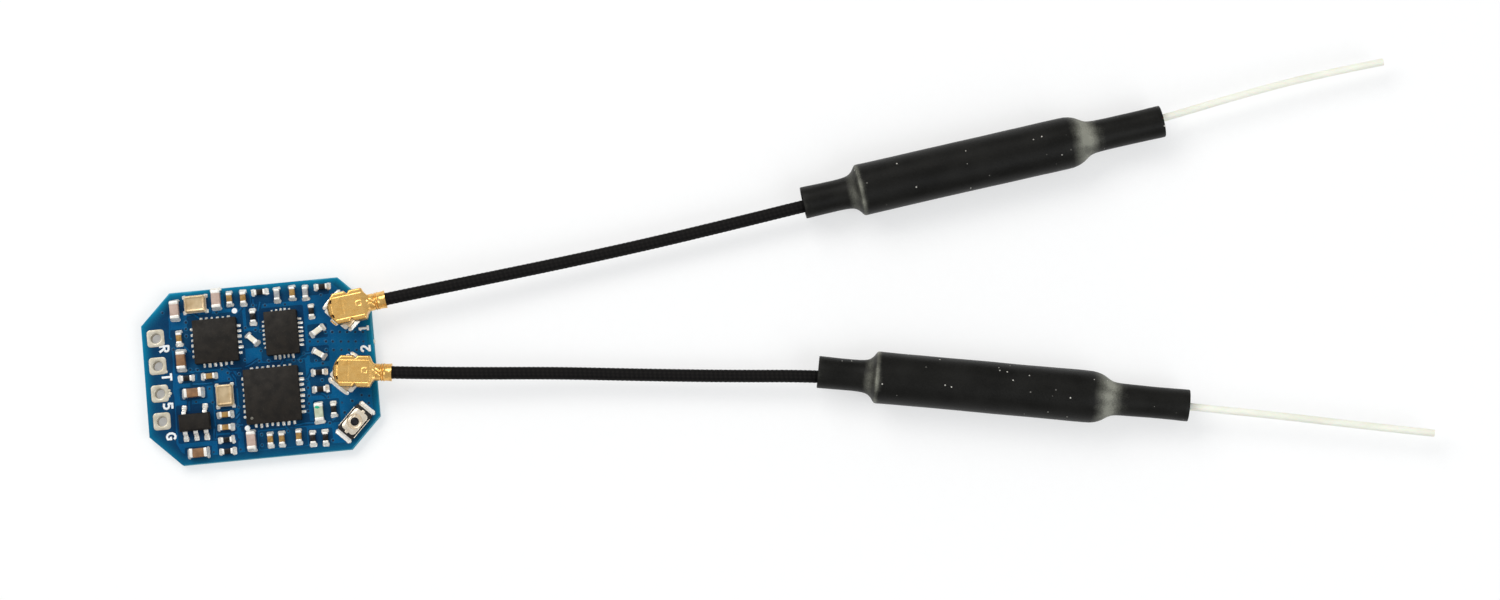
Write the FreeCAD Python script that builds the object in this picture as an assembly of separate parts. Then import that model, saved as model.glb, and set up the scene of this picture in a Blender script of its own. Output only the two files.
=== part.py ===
import FreeCAD, Part
import math
import os

# A small two-antenna radio receiver board, as it lies on a table.
# Millimetres. X runs along the board towards the antennas, Z is up, and the
# origin is the centre of the board's underside, which rests on the table.
# Heights of what sits on the board are counted from the board's top face.

# Board
board_length = 21.0
board_width = 15.8
board_thickness = 1.0
board_chamfer = 2.8

# The four wire pads: foil on both faces round one plated hole
pad_count = 4
pad_pitch = 2.54
pad_from_edge = 1.25
pad_row_y = 0.07
pad_side = 1.58
pad_corner_r = 0.3
pad_foil = 0.04
pin_hole_r = 0.45

# Flat chips with contacts on four sides: (x, y), (size x, size y), contact pitch
flat_chips = {
    "controller": ((1.0, -2.35), (5.0, 5.0), 0.5),
    "transceiver": ((-3.75, 3.1), (4.0, 4.0), 0.5),
    "amplifier": ((2.3, 3.25), (3.0, 4.0), 0.4),
}
# How many contacts stand along X and along Y
contact_counts = {"controller": (8, 8), "transceiver": (6, 6), "amplifier": (5, 7)}
chip_height = 0.85
contact_length = 0.4
contact_height = 0.2
contact_share_of_pitch = 0.5
thermal_pad_share = 0.6
joint_reach = 0.3
joint_height = 0.22
solder_toe_share = 0.15

# Voltage regulator with five bent leads
regulator_at = (-6.2, -4.15)
regulator_size = (2.9, 1.6, 1.1)
regulator_lift = 0.08
regulator_draft = 0.09
regulator_waist = 0.62
lead_pitch = 0.95
lead_width = 0.4
lead_sheet = 0.15
lead_root = 0.3
lead_knee = 0.22
lead_lean = 0.1
lead_toe = 0.62
toe_reach = 0.3

# Crystals: (x, y, turn)
crystals = {
    "radio_crystal": (-5.4, 6.65, 0.0),
    "clock_crystal": (-3.35, -1.95, 90.0),
}
crystal_size = (2.0, 1.6)
crystal_base_height = 0.25
crystal_lid_height = 0.3
crystal_rim = 0.08
crystal_corner_r = 0.2
crystal_lid_edge = 0.05
crystal_pad = (0.5, 0.45)

# Two-ended chip parts: (length, width, height, end cap length)
large_part = (1.6, 0.8, 0.8, 0.3)
small_part = (1.0, 0.5, 0.5, 0.22)
flat_part = (1.0, 0.5, 0.35, 0.22)
lamp_part = (1.6, 0.8, 0.55, 0.32)
end_cap_step = 0.015
fillet_reach = 0.26
fillet_share_of_height = 0.7
fillet_side = 0.06

# Places of the two-ended parts: (x, y, turn)
large_capacitors = [
    (-7.3, 6.25, 90.0), (-3.45, 6.9, 90.0), (-1.25, -6.3, 90.0),
    (-7.05, 1.6, 90.0), (-6.2, -1.45, 0.0), (-6.1, -6.95, 0.0),
]
small_capacitors = [
    (-2.25, 6.85, 90.0), (-1.0, 6.8, 90.0), (3.5, 6.85, 90.0), (-7.1, 3.65, 90.0),
    (0.45, -6.35, 90.0), (1.5, -6.4, 90.0), (3.05, -6.3, 90.0),
    (-4.6, -0.05, 0.0), (-3.45, -3.7, 0.0), (-3.5, -4.85, 0.0),
]
resistors = [
    (0.55, 7.2, 0.0), (6.25, 7.15, 0.0), (-6.7, -0.05, 0.0), (-3.5, -6.0, 0.0),
    (-3.5, -7.05, 0.0), (5.35, -0.65, 0.0), (5.35, -2.2, 0.0), (-0.25, 5.0, 90.0),
    (5.1, 5.0, 90.0), (6.4, -4.15, 90.0), (4.3, -6.6, 90.0), (5.45, -6.65, 90.0),
]
inductors = [(2.1, 6.8, 90.0), (4.7, 6.75, 90.0)]
filters = [(-0.45, 2.95, -45.0), (5.5, 3.15, 32.0), (5.5, 1.05, -35.0)]
status_lamp = (5.05, -4.3, 90.0)

# Push button, turned to lie along the chamfer
button_at = (8.25, -5.5)
button_turn = 45.0
button_housing = (2.9, 1.8, 0.5)
button_corner_r = 0.15
button_well_r = 0.72
button_cover = (2.25, 1.45, 0.07)
button_cover_corner_r = 0.3
button_bead_r = 0.64
button_collar_width = 0.08
button_bead_width = 0.14
button_bead_height = 0.05
button_ear = (0.36, 0.3)
button_terminal = (1.56, 0.42, 0.2)
button_hold = 0.12
plunger_r = 0.33
plunger_flange_r = 0.6
plunger_flange = 0.14
plunger_stand = 0.14
plunger_gap = 0.02
plunger_side_gap = 0.07
plunger_edge_r = 0.11
snap_disc_r = 0.62
snap_disc_sheet = 0.04
snap_disc_spare = 0.1
button_travel = 0.14

# Coaxial jacks soldered to the board, turned 45 degrees to it
jack_base_side = 2.6
jack_base_height = 0.35
jack_ring_r = 1.0
jack_ring_wall = 0.15
jack_ring_top = 1.25
jack_seat = 0.2
jack_tab_width = 1.8
jack_tab_reach = 0.27
jack_tab_sheet = 0.12
jack_pin_r = 0.25
jack_pin_top = 1.15
jack_pin_strip = (0.6, 0.1)
jack_turns = (-45.0, 45.0)

# Coaxial plugs, drawn along their own lead with the jack's axis at zero
plug_top = 2.4
plug_skirt_gap = 0.1
plug_ring_wall = 0.22
plug_running_gap = 0.03
plug_ceiling_gap = 0.05
plug_pin_gap = 0.02
plug_head_bottom = 0.85
plug_head_back = 2.05
plug_head_half = 1.42
plug_tongue_front = 1.38
plug_tongue_half = 0.45
plug_corner_u = 0.7
plug_corner_step = (0.1, 0.25)
plug_shoulder = 0.35
plug_notch_u = 0.58
plug_notch = 0.16
plug_edge = 0.14
plug_roof = 0.2
plug_pocket_front = 0.95
plug_pocket_back = 1.8
plug_pocket_half = 1.05
plug_pocket_gap = 0.02
plug_window = (0.36, 0.05)
plug_window_u = 1.55
plug_end = 4.0
lead_seat = 2.6
plug_crimp_wall = 0.17
plug_crimp_gap = 0.02
plug_ridge_height = 0.06
plug_ridge_width = 0.18
plug_ridges_u = (2.75, 3.1)
plug_contact_wall = 0.12
plug_contact_foot = 0.5
plug_contact_top = 0.28
plug_contact_strip = (0.3, 0.14)
plug_strip_gap = 0.1

# Leads: 1.13 mm coaxial cable from each plug through its sleeve to the joint
# at the sleeve's far end. The plug stands at the start of the route and the
# sleeve on its last run.
lead_r = 0.565
lead_axis_height = 1.5

# Antenna sleeves: a brass tube in heat-shrink, lying on the table
shrink_r = 2.375
shrink_wall = 0.28
shrink_near_neck = 4.0
shrink_far_neck = 7.0
shrink_neck_r = 1.46
shrink_shoulder = 1.6
shoulder_shares = (0.25, 0.8)
shoulder_step = 0.1
tube_length = 19.5
tube_wall = 0.25
tube_gap = 0.02
solder_plug = 1.0

# Bare ends: the lead's inner insulation and its wire
whip_r = 0.34
whip_hole_gap = 0.02
whip_wire_r = 0.12
whip_wire_gap = 0.01

top = board_thickness
lead_z = top + lead_axis_height
sleeve_z = shrink_r

lead_routes = (
    [(10.683, 5.099, lead_z), (14.656, 5.559, lead_z), (20.5, 6.2, 2.35),
     (28.2, 7.07, 2.1), (36.0, 8.03, 2.0), (44.0, 9.16, 2.05), (50.6, 10.14, 2.15),
     (57.5, 11.1, 2.22), (67.7, 12.638, sleeve_z), (74.62, 13.543, sleeve_z)],
    [(10.683, -1.299, lead_z), (14.656, -1.759, lead_z), (20.2, -2.32, 2.38),
     (27.0, -2.92, 2.12), (34.4, -3.79, 1.98), (42.5, -4.7, 2.04), (50.2, -5.43, 2.14),
     (57.0, -6.55, 2.22), (67.34, -8.314, sleeve_z), (74.22, -9.618, sleeve_z)],
)
whip_routes = (
    [(78.5, 14.05, sleeve_z), (84.5, 15.1, 2.34), (91.5, 16.51, 2.28),
     (98.5, 17.7, 2.17), (104.98, 18.38, 2.0)],
    [(78.2, -10.372, sleeve_z), (84.6, -11.69, 2.36), (91.5, -13.06, 2.3),
     (98.6, -14.59, 2.2), (105.58, -16.02, 2.06)],
)

X = FreeCAD.Vector(1, 0, 0)
Z = FreeCAD.Vector(0, 0, 1)
origin = FreeCAD.Vector(0, 0, 0)


def box(cx, cy, z0, sx, sy, sz):
    return Part.makeBox(sx, sy, sz, FreeCAD.Vector(cx - sx / 2, cy - sy / 2, z0))


def disc(radius, z0, height, cx=0.0, cy=0.0):
    return Part.makeCylinder(radius, height, FreeCAD.Vector(cx, cy, z0))


def ring(outer, inner, z0, height):
    return disc(outer, z0, height).cut(disc(inner, z0, height))


def prism(points, z0, height):
    """A flat outline of (x, y) points, raised along Z."""
    corners = [FreeCAD.Vector(x, y, z0) for x, y in points]
    return Part.Face(Part.makePolygon(corners + corners[:1])).extrude(Z * height)


def side_prism(points, width):
    """An outline of (x, z) points, centred on Y and width thick."""
    corners = [FreeCAD.Vector(x, -width / 2, z) for x, z in points]
    face = Part.Face(Part.makePolygon(corners + corners[:1]))
    return face.extrude(FreeCAD.Vector(0, width, 0))


def upright_edges(shape):
    return [e for e in shape.Edges if abs(abs(e.tangentAt(e.FirstParameter).z) - 1) < 1e-6]


def top_edges(shape):
    high = shape.BoundBox.ZMax
    return [e for e in shape.Edges if e.BoundBox.ZMin > high - 1e-4]


def placed(shape, x, y, turn=0.0):
    moved = shape.copy()
    moved.rotate(origin, Z, turn)
    moved.translate(FreeCAD.Vector(x, y, 0))
    return moved


def joined(shapes):
    """Several shapes as one solid."""
    whole = shapes[0].multiFuse(shapes[1:]) if len(shapes) > 1 else shapes[0]
    return whole.removeSplitter()


parts = {}


def keep(name, *shapes):
    """Add solids to a node, which is one solid or a group of like ones."""
    parts.setdefault(name, []).extend(s for shape in shapes for s in shape.Solids)


# Board and its pads

def pad_places():
    x = -board_length / 2 + pad_from_edge
    first = pad_row_y + pad_pitch * (pad_count - 1) / 2
    return [(x, first - pad_pitch * i) for i in range(pad_count)]


def foil(z0):
    """The square foil round a wire hole."""
    square = box(0, 0, z0, pad_side, pad_side, pad_foil)
    square = square.makeFillet(pad_corner_r, upright_edges(square))
    return square.cut(disc(pin_hole_r, z0, pad_foil))


def circuit_board():
    half_x = board_length / 2
    half_y = board_width / 2
    cut = board_chamfer
    outline = [
        (half_x, half_y - cut), (half_x - cut, half_y), (cut - half_x, half_y),
        (-half_x, half_y - cut), (-half_x, cut - half_y), (cut - half_x, -half_y),
        (half_x - cut, -half_y), (half_x, cut - half_y),
    ]
    board = prism(outline, 0, board_thickness)
    upper = [placed(foil(top), x, y) for x, y in pad_places()]
    lower = [placed(foil(0), x, y) for x, y in pad_places()]
    holes = [disc(pin_hole_r, 0, top, x, y) for x, y in pad_places()]
    keep("plated_pads", *upper, *lower)
    keep("circuit_board", board.cut(lower).cut(holes))


# Flat chips

def chip_rows(size, counts, pitch):
    """Place and turn of each contact: its outer end lies on the chip's side."""
    places = []
    for turn, count, reach in (
        (90.0, counts[0], size[1] / 2), (270.0, counts[0], size[1] / 2),
        (0.0, counts[1], size[0] / 2), (180.0, counts[1], size[0] / 2),
    ):
        for i in range(count):
            places.append((turn, reach, pitch * (i - (count - 1) / 2)))
    return places


def at_side(shape, turn, reach, along):
    moved = shape.copy()
    moved.translate(FreeCAD.Vector(reach, along, 0))
    moved.rotate(origin, Z, turn)
    return moved


def wedge(reach, width, height):
    """A solder fillet: upright at x = 0, and thin at its toe."""
    toe = height * solder_toe_share
    return side_prism([(0, top), (reach, top), (reach, top + toe), (0, top + height)], width)


def flat_chip(name):
    (x, y), size, pitch = flat_chips[name]
    width = pitch * contact_share_of_pitch
    contact = box(-contact_length / 2, 0, top, contact_length, width, contact_height)
    rows = chip_rows(size, contact_counts[name], pitch)
    contacts = [placed(at_side(contact, *row), x, y) for row in rows]
    thermal = placed(box(0, 0, top, *[thermal_pad_share * s for s in size], contact_height), x, y)
    body = placed(box(0, 0, top, size[0], size[1], chip_height), x, y)
    keep(name + "_chip", body.cut(contacts + [thermal]))
    keep(name + "_contacts", *contacts, thermal)
    fillet = wedge(joint_reach, width, joint_height)
    keep("solder_fillets", *[placed(at_side(fillet, *row), x, y) for row in rows])


# Regulator

def regulator():
    length, width, height = regulator_size
    base = top + regulator_lift
    waist = base + regulator_waist - regulator_lift
    crown = top + height
    draft = regulator_draft
    half = width / 2

    def layer(z, inset):
        corner = FreeCAD.Vector(inset - length / 2, inset - half, z)
        across = FreeCAD.Vector(length - 2 * inset, 0, 0)
        along = FreeCAD.Vector(0, width - 2 * inset, 0)
        points = [corner, corner + across, corner + across + along, corner + along, corner]
        return Part.makePolygon(points)

    lower = Part.makeLoft([layer(base, draft), layer(waist, 0)], True, True)
    upper = Part.makeLoft([layer(waist, 0), layer(crown, draft)], True, True)
    knee = half + lead_knee
    toe = half + lead_toe
    run = [
        (half - lead_root, waist), (knee, waist), (knee + lead_lean, top + lead_sheet),
        (toe, top + lead_sheet), (toe, top), (knee, top),
        (knee - lead_lean, waist - lead_sheet), (half - lead_root, waist - lead_sheet),
    ]
    lead = side_prism(run, lead_width)
    toe_solder = wedge(toe_reach, lead_width, lead_sheet)
    toe_solder.translate(FreeCAD.Vector(toe, 0, 0))
    rows = [(270.0, i * lead_pitch) for i in (-1, 0, 1)] + [(90.0, i * lead_pitch) for i in (-1, 1)]
    x, y = regulator_at
    leads = [placed(at_side(lead, turn, 0, along), x, y) for turn, along in rows]
    body = placed(joined([lower, upper]), x, y)
    keep("regulator_body", body.cut(leads))
    keep("regulator_leads", *leads)
    solder = [placed(at_side(toe_solder, turn, 0, along), x, y) for turn, along in rows]
    keep("solder_fillets", *solder)


# Crystals

def crystal(name):
    x, y, turn = crystals[name]
    length, width = crystal_size
    sheet = pad_foil
    pads = []
    for sx in (-1, 1):
        for sy in (-1, 1):
            px = sx * (length - crystal_pad[0]) / 2
            py = sy * (width - crystal_pad[1]) / 2
            pads.append(box(px, py, top, crystal_pad[0], crystal_pad[1], sheet))
    base = box(0, 0, top + sheet, length, width, crystal_base_height - sheet)
    rim = 2 * crystal_rim
    lid = box(0, 0, top + crystal_base_height, length - rim, width - rim, crystal_lid_height)
    lid = lid.makeFillet(crystal_corner_r, upright_edges(lid))
    lid = lid.makeChamfer(crystal_lid_edge, top_edges(lid))
    keep(name + "_base", placed(base, x, y, turn))
    keep(name + "_lid", placed(lid, x, y, turn))
    keep("crystal_pads", *[placed(p, x, y, turn) for p in pads])


# Two-ended chip parts

def chip_part(node, sizes, places):
    """A ceramic block, its two metal ends and the solder under them."""
    length, width, height, end = sizes
    step = end_cap_step
    block = box(0, 0, top + step, length - 2 * end, width - 2 * step, height - 2 * step)
    cap = box((length - end) / 2, 0, top, end, width, height)
    fillet = wedge(fillet_reach, width + 2 * fillet_side, height * fillet_share_of_height)
    fillet.translate(FreeCAD.Vector(length / 2, 0, 0))
    for x, y, turn in places:
        keep(node, placed(block, x, y, turn))
        keep("end_caps", placed(cap, x, y, turn), placed(cap, x, y, turn + 180))
        keep("solder_fillets", placed(fillet, x, y, turn), placed(fillet, x, y, turn + 180))


# Push button

def push_button():
    length, width, height = button_housing
    cover_length, cover_width, cover_sheet = button_cover
    lid = top + height
    flange_top = lid - plunger_gap
    flange_bottom = flange_top - plunger_flange
    rise = button_travel + snap_disc_spare
    floor = flange_bottom - plunger_gap - rise
    x, y = button_at
    well = disc(button_well_r, floor, lid - floor)
    ends = []
    for side in (-1, 1):
        wide, deep, thick = button_terminal
        outer = side * (length / 2 + deep / 2)
        foot = box(outer, 0, top, deep, wide, thick)
        inner = side * (length / 2 - button_hold / 2)
        ends.append(joined([foot, box(inner, 0, top, button_hold, wide, thick)]))
    body = box(0, 0, top, length, width, height)
    body = body.makeFillet(button_corner_r, upright_edges(body)).cut([well] + ends)
    opening_r = plunger_r + plunger_side_gap
    plate = box(0, 0, lid, cover_length, cover_width, cover_sheet)
    plate = plate.makeFillet(button_cover_corner_r, upright_edges(plate))
    ears = [box(side * cover_length / 2, 0, lid, *button_ear, cover_sheet) for side in (-1, 1)]
    bead_z = lid + cover_sheet
    bead = ring(button_bead_r, button_bead_r - button_bead_width, bead_z, button_bead_height)
    collar = ring(opening_r + button_collar_width, opening_r, bead_z, button_bead_height)
    plate = joined([plate, bead, collar] + ears)
    hole = disc(opening_r, lid, cover_sheet + button_bead_height)
    crown = lid + cover_sheet + plunger_stand
    stem = disc(plunger_r, flange_bottom, crown - flange_bottom)
    stem = stem.makeFillet(plunger_edge_r, top_edges(stem))
    button = joined([stem, disc(plunger_flange_r, flange_bottom, plunger_flange)])
    cap_r = (snap_disc_r ** 2 + rise ** 2) / (2 * rise)
    centre = FreeCAD.Vector(0, 0, floor + rise - cap_r)
    shell = Part.makeSphere(cap_r, centre).cut(Part.makeSphere(cap_r - snap_disc_sheet, centre))
    disc_spring = shell.common(disc(button_well_r, floor, rise))
    keep("button_housing", placed(body, x, y, button_turn))
    keep("button_terminals", *[placed(end, x, y, button_turn) for end in ends])
    keep("button_cover", placed(plate.cut(hole), x, y, button_turn))
    keep("button_plunger", placed(button, x, y, button_turn))
    keep("button_snap_disc", placed(disc_spring, x, y, button_turn))


# Antenna jacks, plugs, leads and sleeves

def unit(a, b):
    step = FreeCAD.Vector(*b) - FreeCAD.Vector(*a)
    return step.normalize()


def jack_place(route):
    """The jack stands behind the lead's start, in line with its first run."""
    start = FreeCAD.Vector(*route[0])
    foot = start - unit(route[0], route[1]) * lead_seat
    return foot.x, foot.y


def plug_turn(route):
    along = unit(route[0], route[1])
    return math.degrees(math.atan2(along.y, along.x))


def antenna_jack(number, route, turn):
    x, y = jack_place(route)
    half = jack_base_side / 2
    seat = top + jack_seat
    tab_top = seat + jack_tab_sheet
    foot_x = half + jack_tab_reach / 2
    shell = [ring(jack_ring_r, jack_ring_r - jack_ring_wall, seat, jack_ring_top - jack_seat)]
    for side in (-1, 1):
        strip_length = half + jack_tab_reach - (jack_ring_r - jack_ring_wall / 2)
        strip_x = half + jack_tab_reach - strip_length / 2
        shell.append(box(side * strip_x, 0, seat, strip_length, jack_tab_width, jack_tab_sheet))
        shell.append(box(side * foot_x, 0, top, jack_tab_reach, jack_tab_width, tab_top - top))
    shell = joined(shell).cut(disc(jack_ring_r - jack_ring_wall, seat, jack_ring_top))
    strip_width, strip_sheet = jack_pin_strip
    strip_reach = half + jack_tab_reach
    pin = joined([
        disc(jack_pin_r, top, jack_pin_top),
        box(0, -strip_reach / 2, top, strip_width, strip_reach, strip_sheet),
    ])
    base = box(0, 0, top, jack_base_side, jack_base_side, jack_base_height)
    keep("antenna_jack_%d_base" % number, placed(base.cut([shell, pin]), x, y, turn))
    keep("antenna_jack_%d_shell" % number, placed(shell, x, y, turn))
    keep("antenna_jack_%d_pin" % number, placed(pin, x, y, turn))


def head_outline():
    half = plug_head_half
    crimp = lead_r + plug_crimp_gap + plug_crimp_wall
    nick = plug_notch
    step_u, step_v = plug_corner_step
    upper = [
        (-plug_tongue_front, plug_tongue_half), (-plug_corner_u - step_u, half - step_v),
        (-plug_corner_u, half), (plug_notch_u - nick, half), (plug_notch_u, half - nick),
        (plug_notch_u + nick, half), (plug_head_back, half),
        (plug_head_back + plug_shoulder, crimp),
    ]
    return upper + [(u, -v) for u, v in reversed(upper)]


def antenna_plug(number, route):
    x, y = jack_place(route)
    turn = plug_turn(route)
    axis_z = lead_z
    crimp_bore = lead_r + plug_crimp_gap
    crimp_r = crimp_bore + plug_crimp_wall
    bore_r = jack_ring_r + plug_running_gap
    skirt = top + jack_base_height + plug_skirt_gap
    ceiling = top + jack_ring_top + plug_ceiling_gap
    roof = top + plug_top
    head_floor = top + plug_head_bottom
    head = prism(head_outline(), head_floor, roof - head_floor)
    head = head.makeChamfer(plug_edge, top_edges(head))
    collar = disc(bore_r + plug_ring_wall, skirt, roof - plug_roof - skirt)
    crimp_start = plug_head_back + plug_shoulder / 2
    barrel = Part.makeCylinder(crimp_r, plug_end - crimp_start,
                               FreeCAD.Vector(crimp_start, 0, axis_z), X)
    ridges = [
        Part.makeCylinder(crimp_r + plug_ridge_height, plug_ridge_width,
                          FreeCAD.Vector(u, 0, axis_z), X)
        for u in plug_ridges_u
    ]
    shell = joined([head, collar, barrel] + ridges)
    pocket_x = (plug_pocket_back - plug_pocket_front) / 2
    pocket_length = plug_pocket_back + plug_pocket_front
    pocket = box(pocket_x, 0, ceiling, pocket_length, 2 * plug_pocket_half,
                 roof - plug_roof - ceiling)
    lead_bore = Part.makeCylinder(crimp_bore, plug_end - lead_seat,
                                  FreeCAD.Vector(lead_seat, 0, axis_z), X)
    strip_width, strip_sheet = plug_contact_strip
    way_width = strip_width + 2 * plug_strip_gap
    way_height = strip_sheet + 2 * plug_strip_gap
    way = box((plug_pocket_back + lead_seat) / 2, 0, axis_z - way_height / 2,
              lead_seat - plug_pocket_back, way_width, way_height)
    window_side, window_depth = plug_window
    window = box(plug_window_u, 0, roof - window_depth, window_side, window_side, window_depth)
    socket = disc(bore_r, skirt, ceiling - skirt)
    shell = shell.cut([socket, pocket, lead_bore, way, window])
    inner_gap = plug_pocket_gap
    insulator = box(pocket_x, 0, ceiling, pocket_length - 2 * inner_gap,
                    2 * (plug_pocket_half - inner_gap), roof - plug_roof - inner_gap - ceiling)
    contact_r = jack_pin_r + plug_pin_gap + plug_contact_wall
    contact_bottom = top + plug_contact_foot
    contact_top = top + jack_ring_top + plug_contact_top
    contact = disc(contact_r, contact_bottom, contact_top - contact_bottom)
    strip = box(lead_seat / 2, 0, axis_z - strip_sheet / 2, lead_seat, strip_width, strip_sheet)
    clear = disc(jack_pin_r + plug_pin_gap, contact_bottom,
                 top + jack_pin_top + plug_running_gap - contact_bottom)
    contact = joined([contact, strip]).cut(clear)
    insulator = insulator.cut(contact)
    keep("antenna_plug_%d_shell" % number, placed(shell, x, y, turn))
    keep("antenna_plug_%d_insulator" % number, placed(insulator, x, y, turn))
    keep("antenna_plug_%d_contact" % number, placed(contact, x, y, turn))


def route_wire(points):
    """Straight runs joined by tangent arcs, and the arcs' radii."""
    spots = [FreeCAD.Vector(*p) for p in points]
    edges = []
    radii = []
    here = spots[0]
    for before, corner, after in zip(spots, spots[1:], spots[2:]):
        back = before - corner
        ahead = after - corner
        turn = math.pi - back.getAngle(ahead)
        tangent = 0.45 * min(back.Length, ahead.Length)
        radius = tangent / math.tan(turn / 2)
        start = corner + back.normalize() * tangent
        end = corner + ahead.normalize() * tangent
        middle_way = ((start + end) * 0.5 - corner).normalize()
        middle = corner + middle_way * (radius / math.cos(turn / 2) - radius)
        edges.append(Part.LineSegment(here, start).toShape())
        edges.append(Part.Arc(start, middle, end).toShape())
        radii.append(radius)
        here = end
    edges.append(Part.LineSegment(here, spots[-1]).toShape())
    return Part.Wire(edges), radii


def route_tube(name, points, radius):
    wire, radii = route_wire(points)
    section = Part.Wire([Part.makeCircle(radius, FreeCAD.Vector(*points[0]), unit(*points[:2]))])
    tube = wire.makePipeShell([section], True, False)
    solid = tube if tube.ShapeType == "Solid" else Part.Solid(tube)
    ideal = math.pi * radius ** 2 * wire.Length
    print("%s: length %.2f, radii %s, volume %.4f of %.4f" % (
        name, wire.Length, " ".join("%.0f" % r for r in radii), solid.Volume, ideal))
    return solid


def along_x(profile, at, turn):
    """A closed (x, radius) outline turned about X, then set on a sleeve."""
    corners = [FreeCAD.Vector(x, 0, r) for x, r in profile]
    face = Part.Face(Part.makePolygon(corners + corners[:1]))
    solid = face.revolve(origin, X, 360)
    solid.rotate(origin, Z, turn)
    solid.translate(at)
    return solid


def shrink_profile(thin):
    """Outline of the heat-shrink, counted from the joint's near face."""
    neck = shrink_neck_r - thin
    body = shrink_r - thin
    low, high = shoulder_shares

    def half(start, side, neck_length):
        """From the body's end down its shoulder and out along its neck."""
        steps = [(0, body), (1 - high, body - shoulder_step), (1 - low, neck + shoulder_step), (1, neck)]
        points = [(start + side * shrink_shoulder * share, r) for share, r in steps]
        return points + [(start + side * (shrink_shoulder + neck_length), neck)]

    near = half(solder_plug - tube_length, -1, shrink_near_neck)
    return near[::-1] + half(solder_plug, 1, shrink_far_neck)


def antenna_sleeve(number, route, whip):
    last = unit(route[-2], route[-1])
    turn = math.degrees(math.atan2(last.y, last.x))
    joint = FreeCAD.Vector(*route[-1])
    outer = shrink_profile(0)
    inner = shrink_profile(shrink_wall)
    keep("heat_shrink_%d" % number, along_x(outer + inner[::-1], joint, turn))
    tube_r = shrink_r - shrink_wall - tube_gap
    bore_r = tube_r - tube_wall
    near = solder_plug - tube_length
    tube = [(near, bore_r), (near, tube_r), (solder_plug, tube_r), (solder_plug, bore_r)]
    keep("brass_sleeve_%d" % number, along_x(tube, joint, turn))
    hole_r = whip_r + whip_hole_gap
    solder = [(0, hole_r), (0, bore_r), (solder_plug, bore_r), (solder_plug, hole_r)]
    keep("sleeve_solder_%d" % number, along_x(solder, joint, turn))
    points = [route[-1]] + whip
    wire_hole = route_tube("wire hole %d" % number, points, whip_wire_r + whip_wire_gap)
    insulation = route_tube("whip insulation %d" % number, points, whip_r)
    keep("whip_insulation_%d" % number, insulation.cut(wire_hole))
    keep("whip_wire_%d" % number, route_tube("whip wire %d" % number, points, whip_wire_r))


circuit_board()
for chip_name in flat_chips:
    flat_chip(chip_name)
regulator()
for crystal_name in crystals:
    crystal(crystal_name)
chip_part("large_capacitors", large_part, large_capacitors)
chip_part("small_capacitors", small_part, small_capacitors)
chip_part("resistors", flat_part, resistors)
chip_part("inductors", small_part, inductors)
chip_part("radio_filters", small_part, filters)
chip_part("status_lamp", lamp_part, [status_lamp])
push_button()
for index, lead_route in enumerate(lead_routes):
    antenna_jack(index + 1, lead_route, jack_turns[index])
    antenna_plug(index + 1, lead_route)
    lead = route_tube("coax lead %d" % (index + 1), lead_route, lead_r)
    keep("coax_lead_%d" % (index + 1), lead)
    antenna_sleeve(index + 1, lead_route, whip_routes[index])
    print("jack %d at %.3f, %.3f" % (index + 1, *jack_place(lead_route)))

os.makedirs("parts", exist_ok=True)
for name, solids in parts.items():
    shape = solids[0] if len(solids) == 1 else Part.makeCompound(solids)
    bad = [s for s in solids if not s.isValid() or s.Volume <= 0]
    print("%-28s %3d solids %9.4f mm3%s" % (
        name, len(solids), sum(s.Volume for s in solids), " BAD" if bad else ""))
    shape.exportStep("parts/%s.step" % name)
print(len(parts), "nodes")
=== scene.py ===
import bmesh
import bpy
import math
import random
from mathutils import Matrix, Vector, noise
from mathutils.geometry import delaunay_2d_cdt


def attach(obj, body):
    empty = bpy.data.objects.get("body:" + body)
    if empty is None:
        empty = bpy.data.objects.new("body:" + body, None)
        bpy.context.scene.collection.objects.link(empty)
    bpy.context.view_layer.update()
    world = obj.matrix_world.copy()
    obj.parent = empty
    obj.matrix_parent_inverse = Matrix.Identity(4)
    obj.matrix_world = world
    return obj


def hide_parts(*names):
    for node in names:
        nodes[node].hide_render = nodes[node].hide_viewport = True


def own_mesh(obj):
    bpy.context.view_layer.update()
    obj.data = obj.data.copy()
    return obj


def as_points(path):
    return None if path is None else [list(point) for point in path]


# Dresses a small two-antenna radio receiver. Lengths are in millimetres until a mesh is made.

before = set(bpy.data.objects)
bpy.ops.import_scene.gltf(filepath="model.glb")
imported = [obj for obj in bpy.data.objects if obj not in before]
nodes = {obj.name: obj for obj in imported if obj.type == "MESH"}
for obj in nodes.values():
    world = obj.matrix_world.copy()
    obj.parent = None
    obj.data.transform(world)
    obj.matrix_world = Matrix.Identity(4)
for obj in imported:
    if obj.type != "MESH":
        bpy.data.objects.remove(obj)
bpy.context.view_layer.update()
mm = 0.001
boardTop = 1.0


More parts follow.
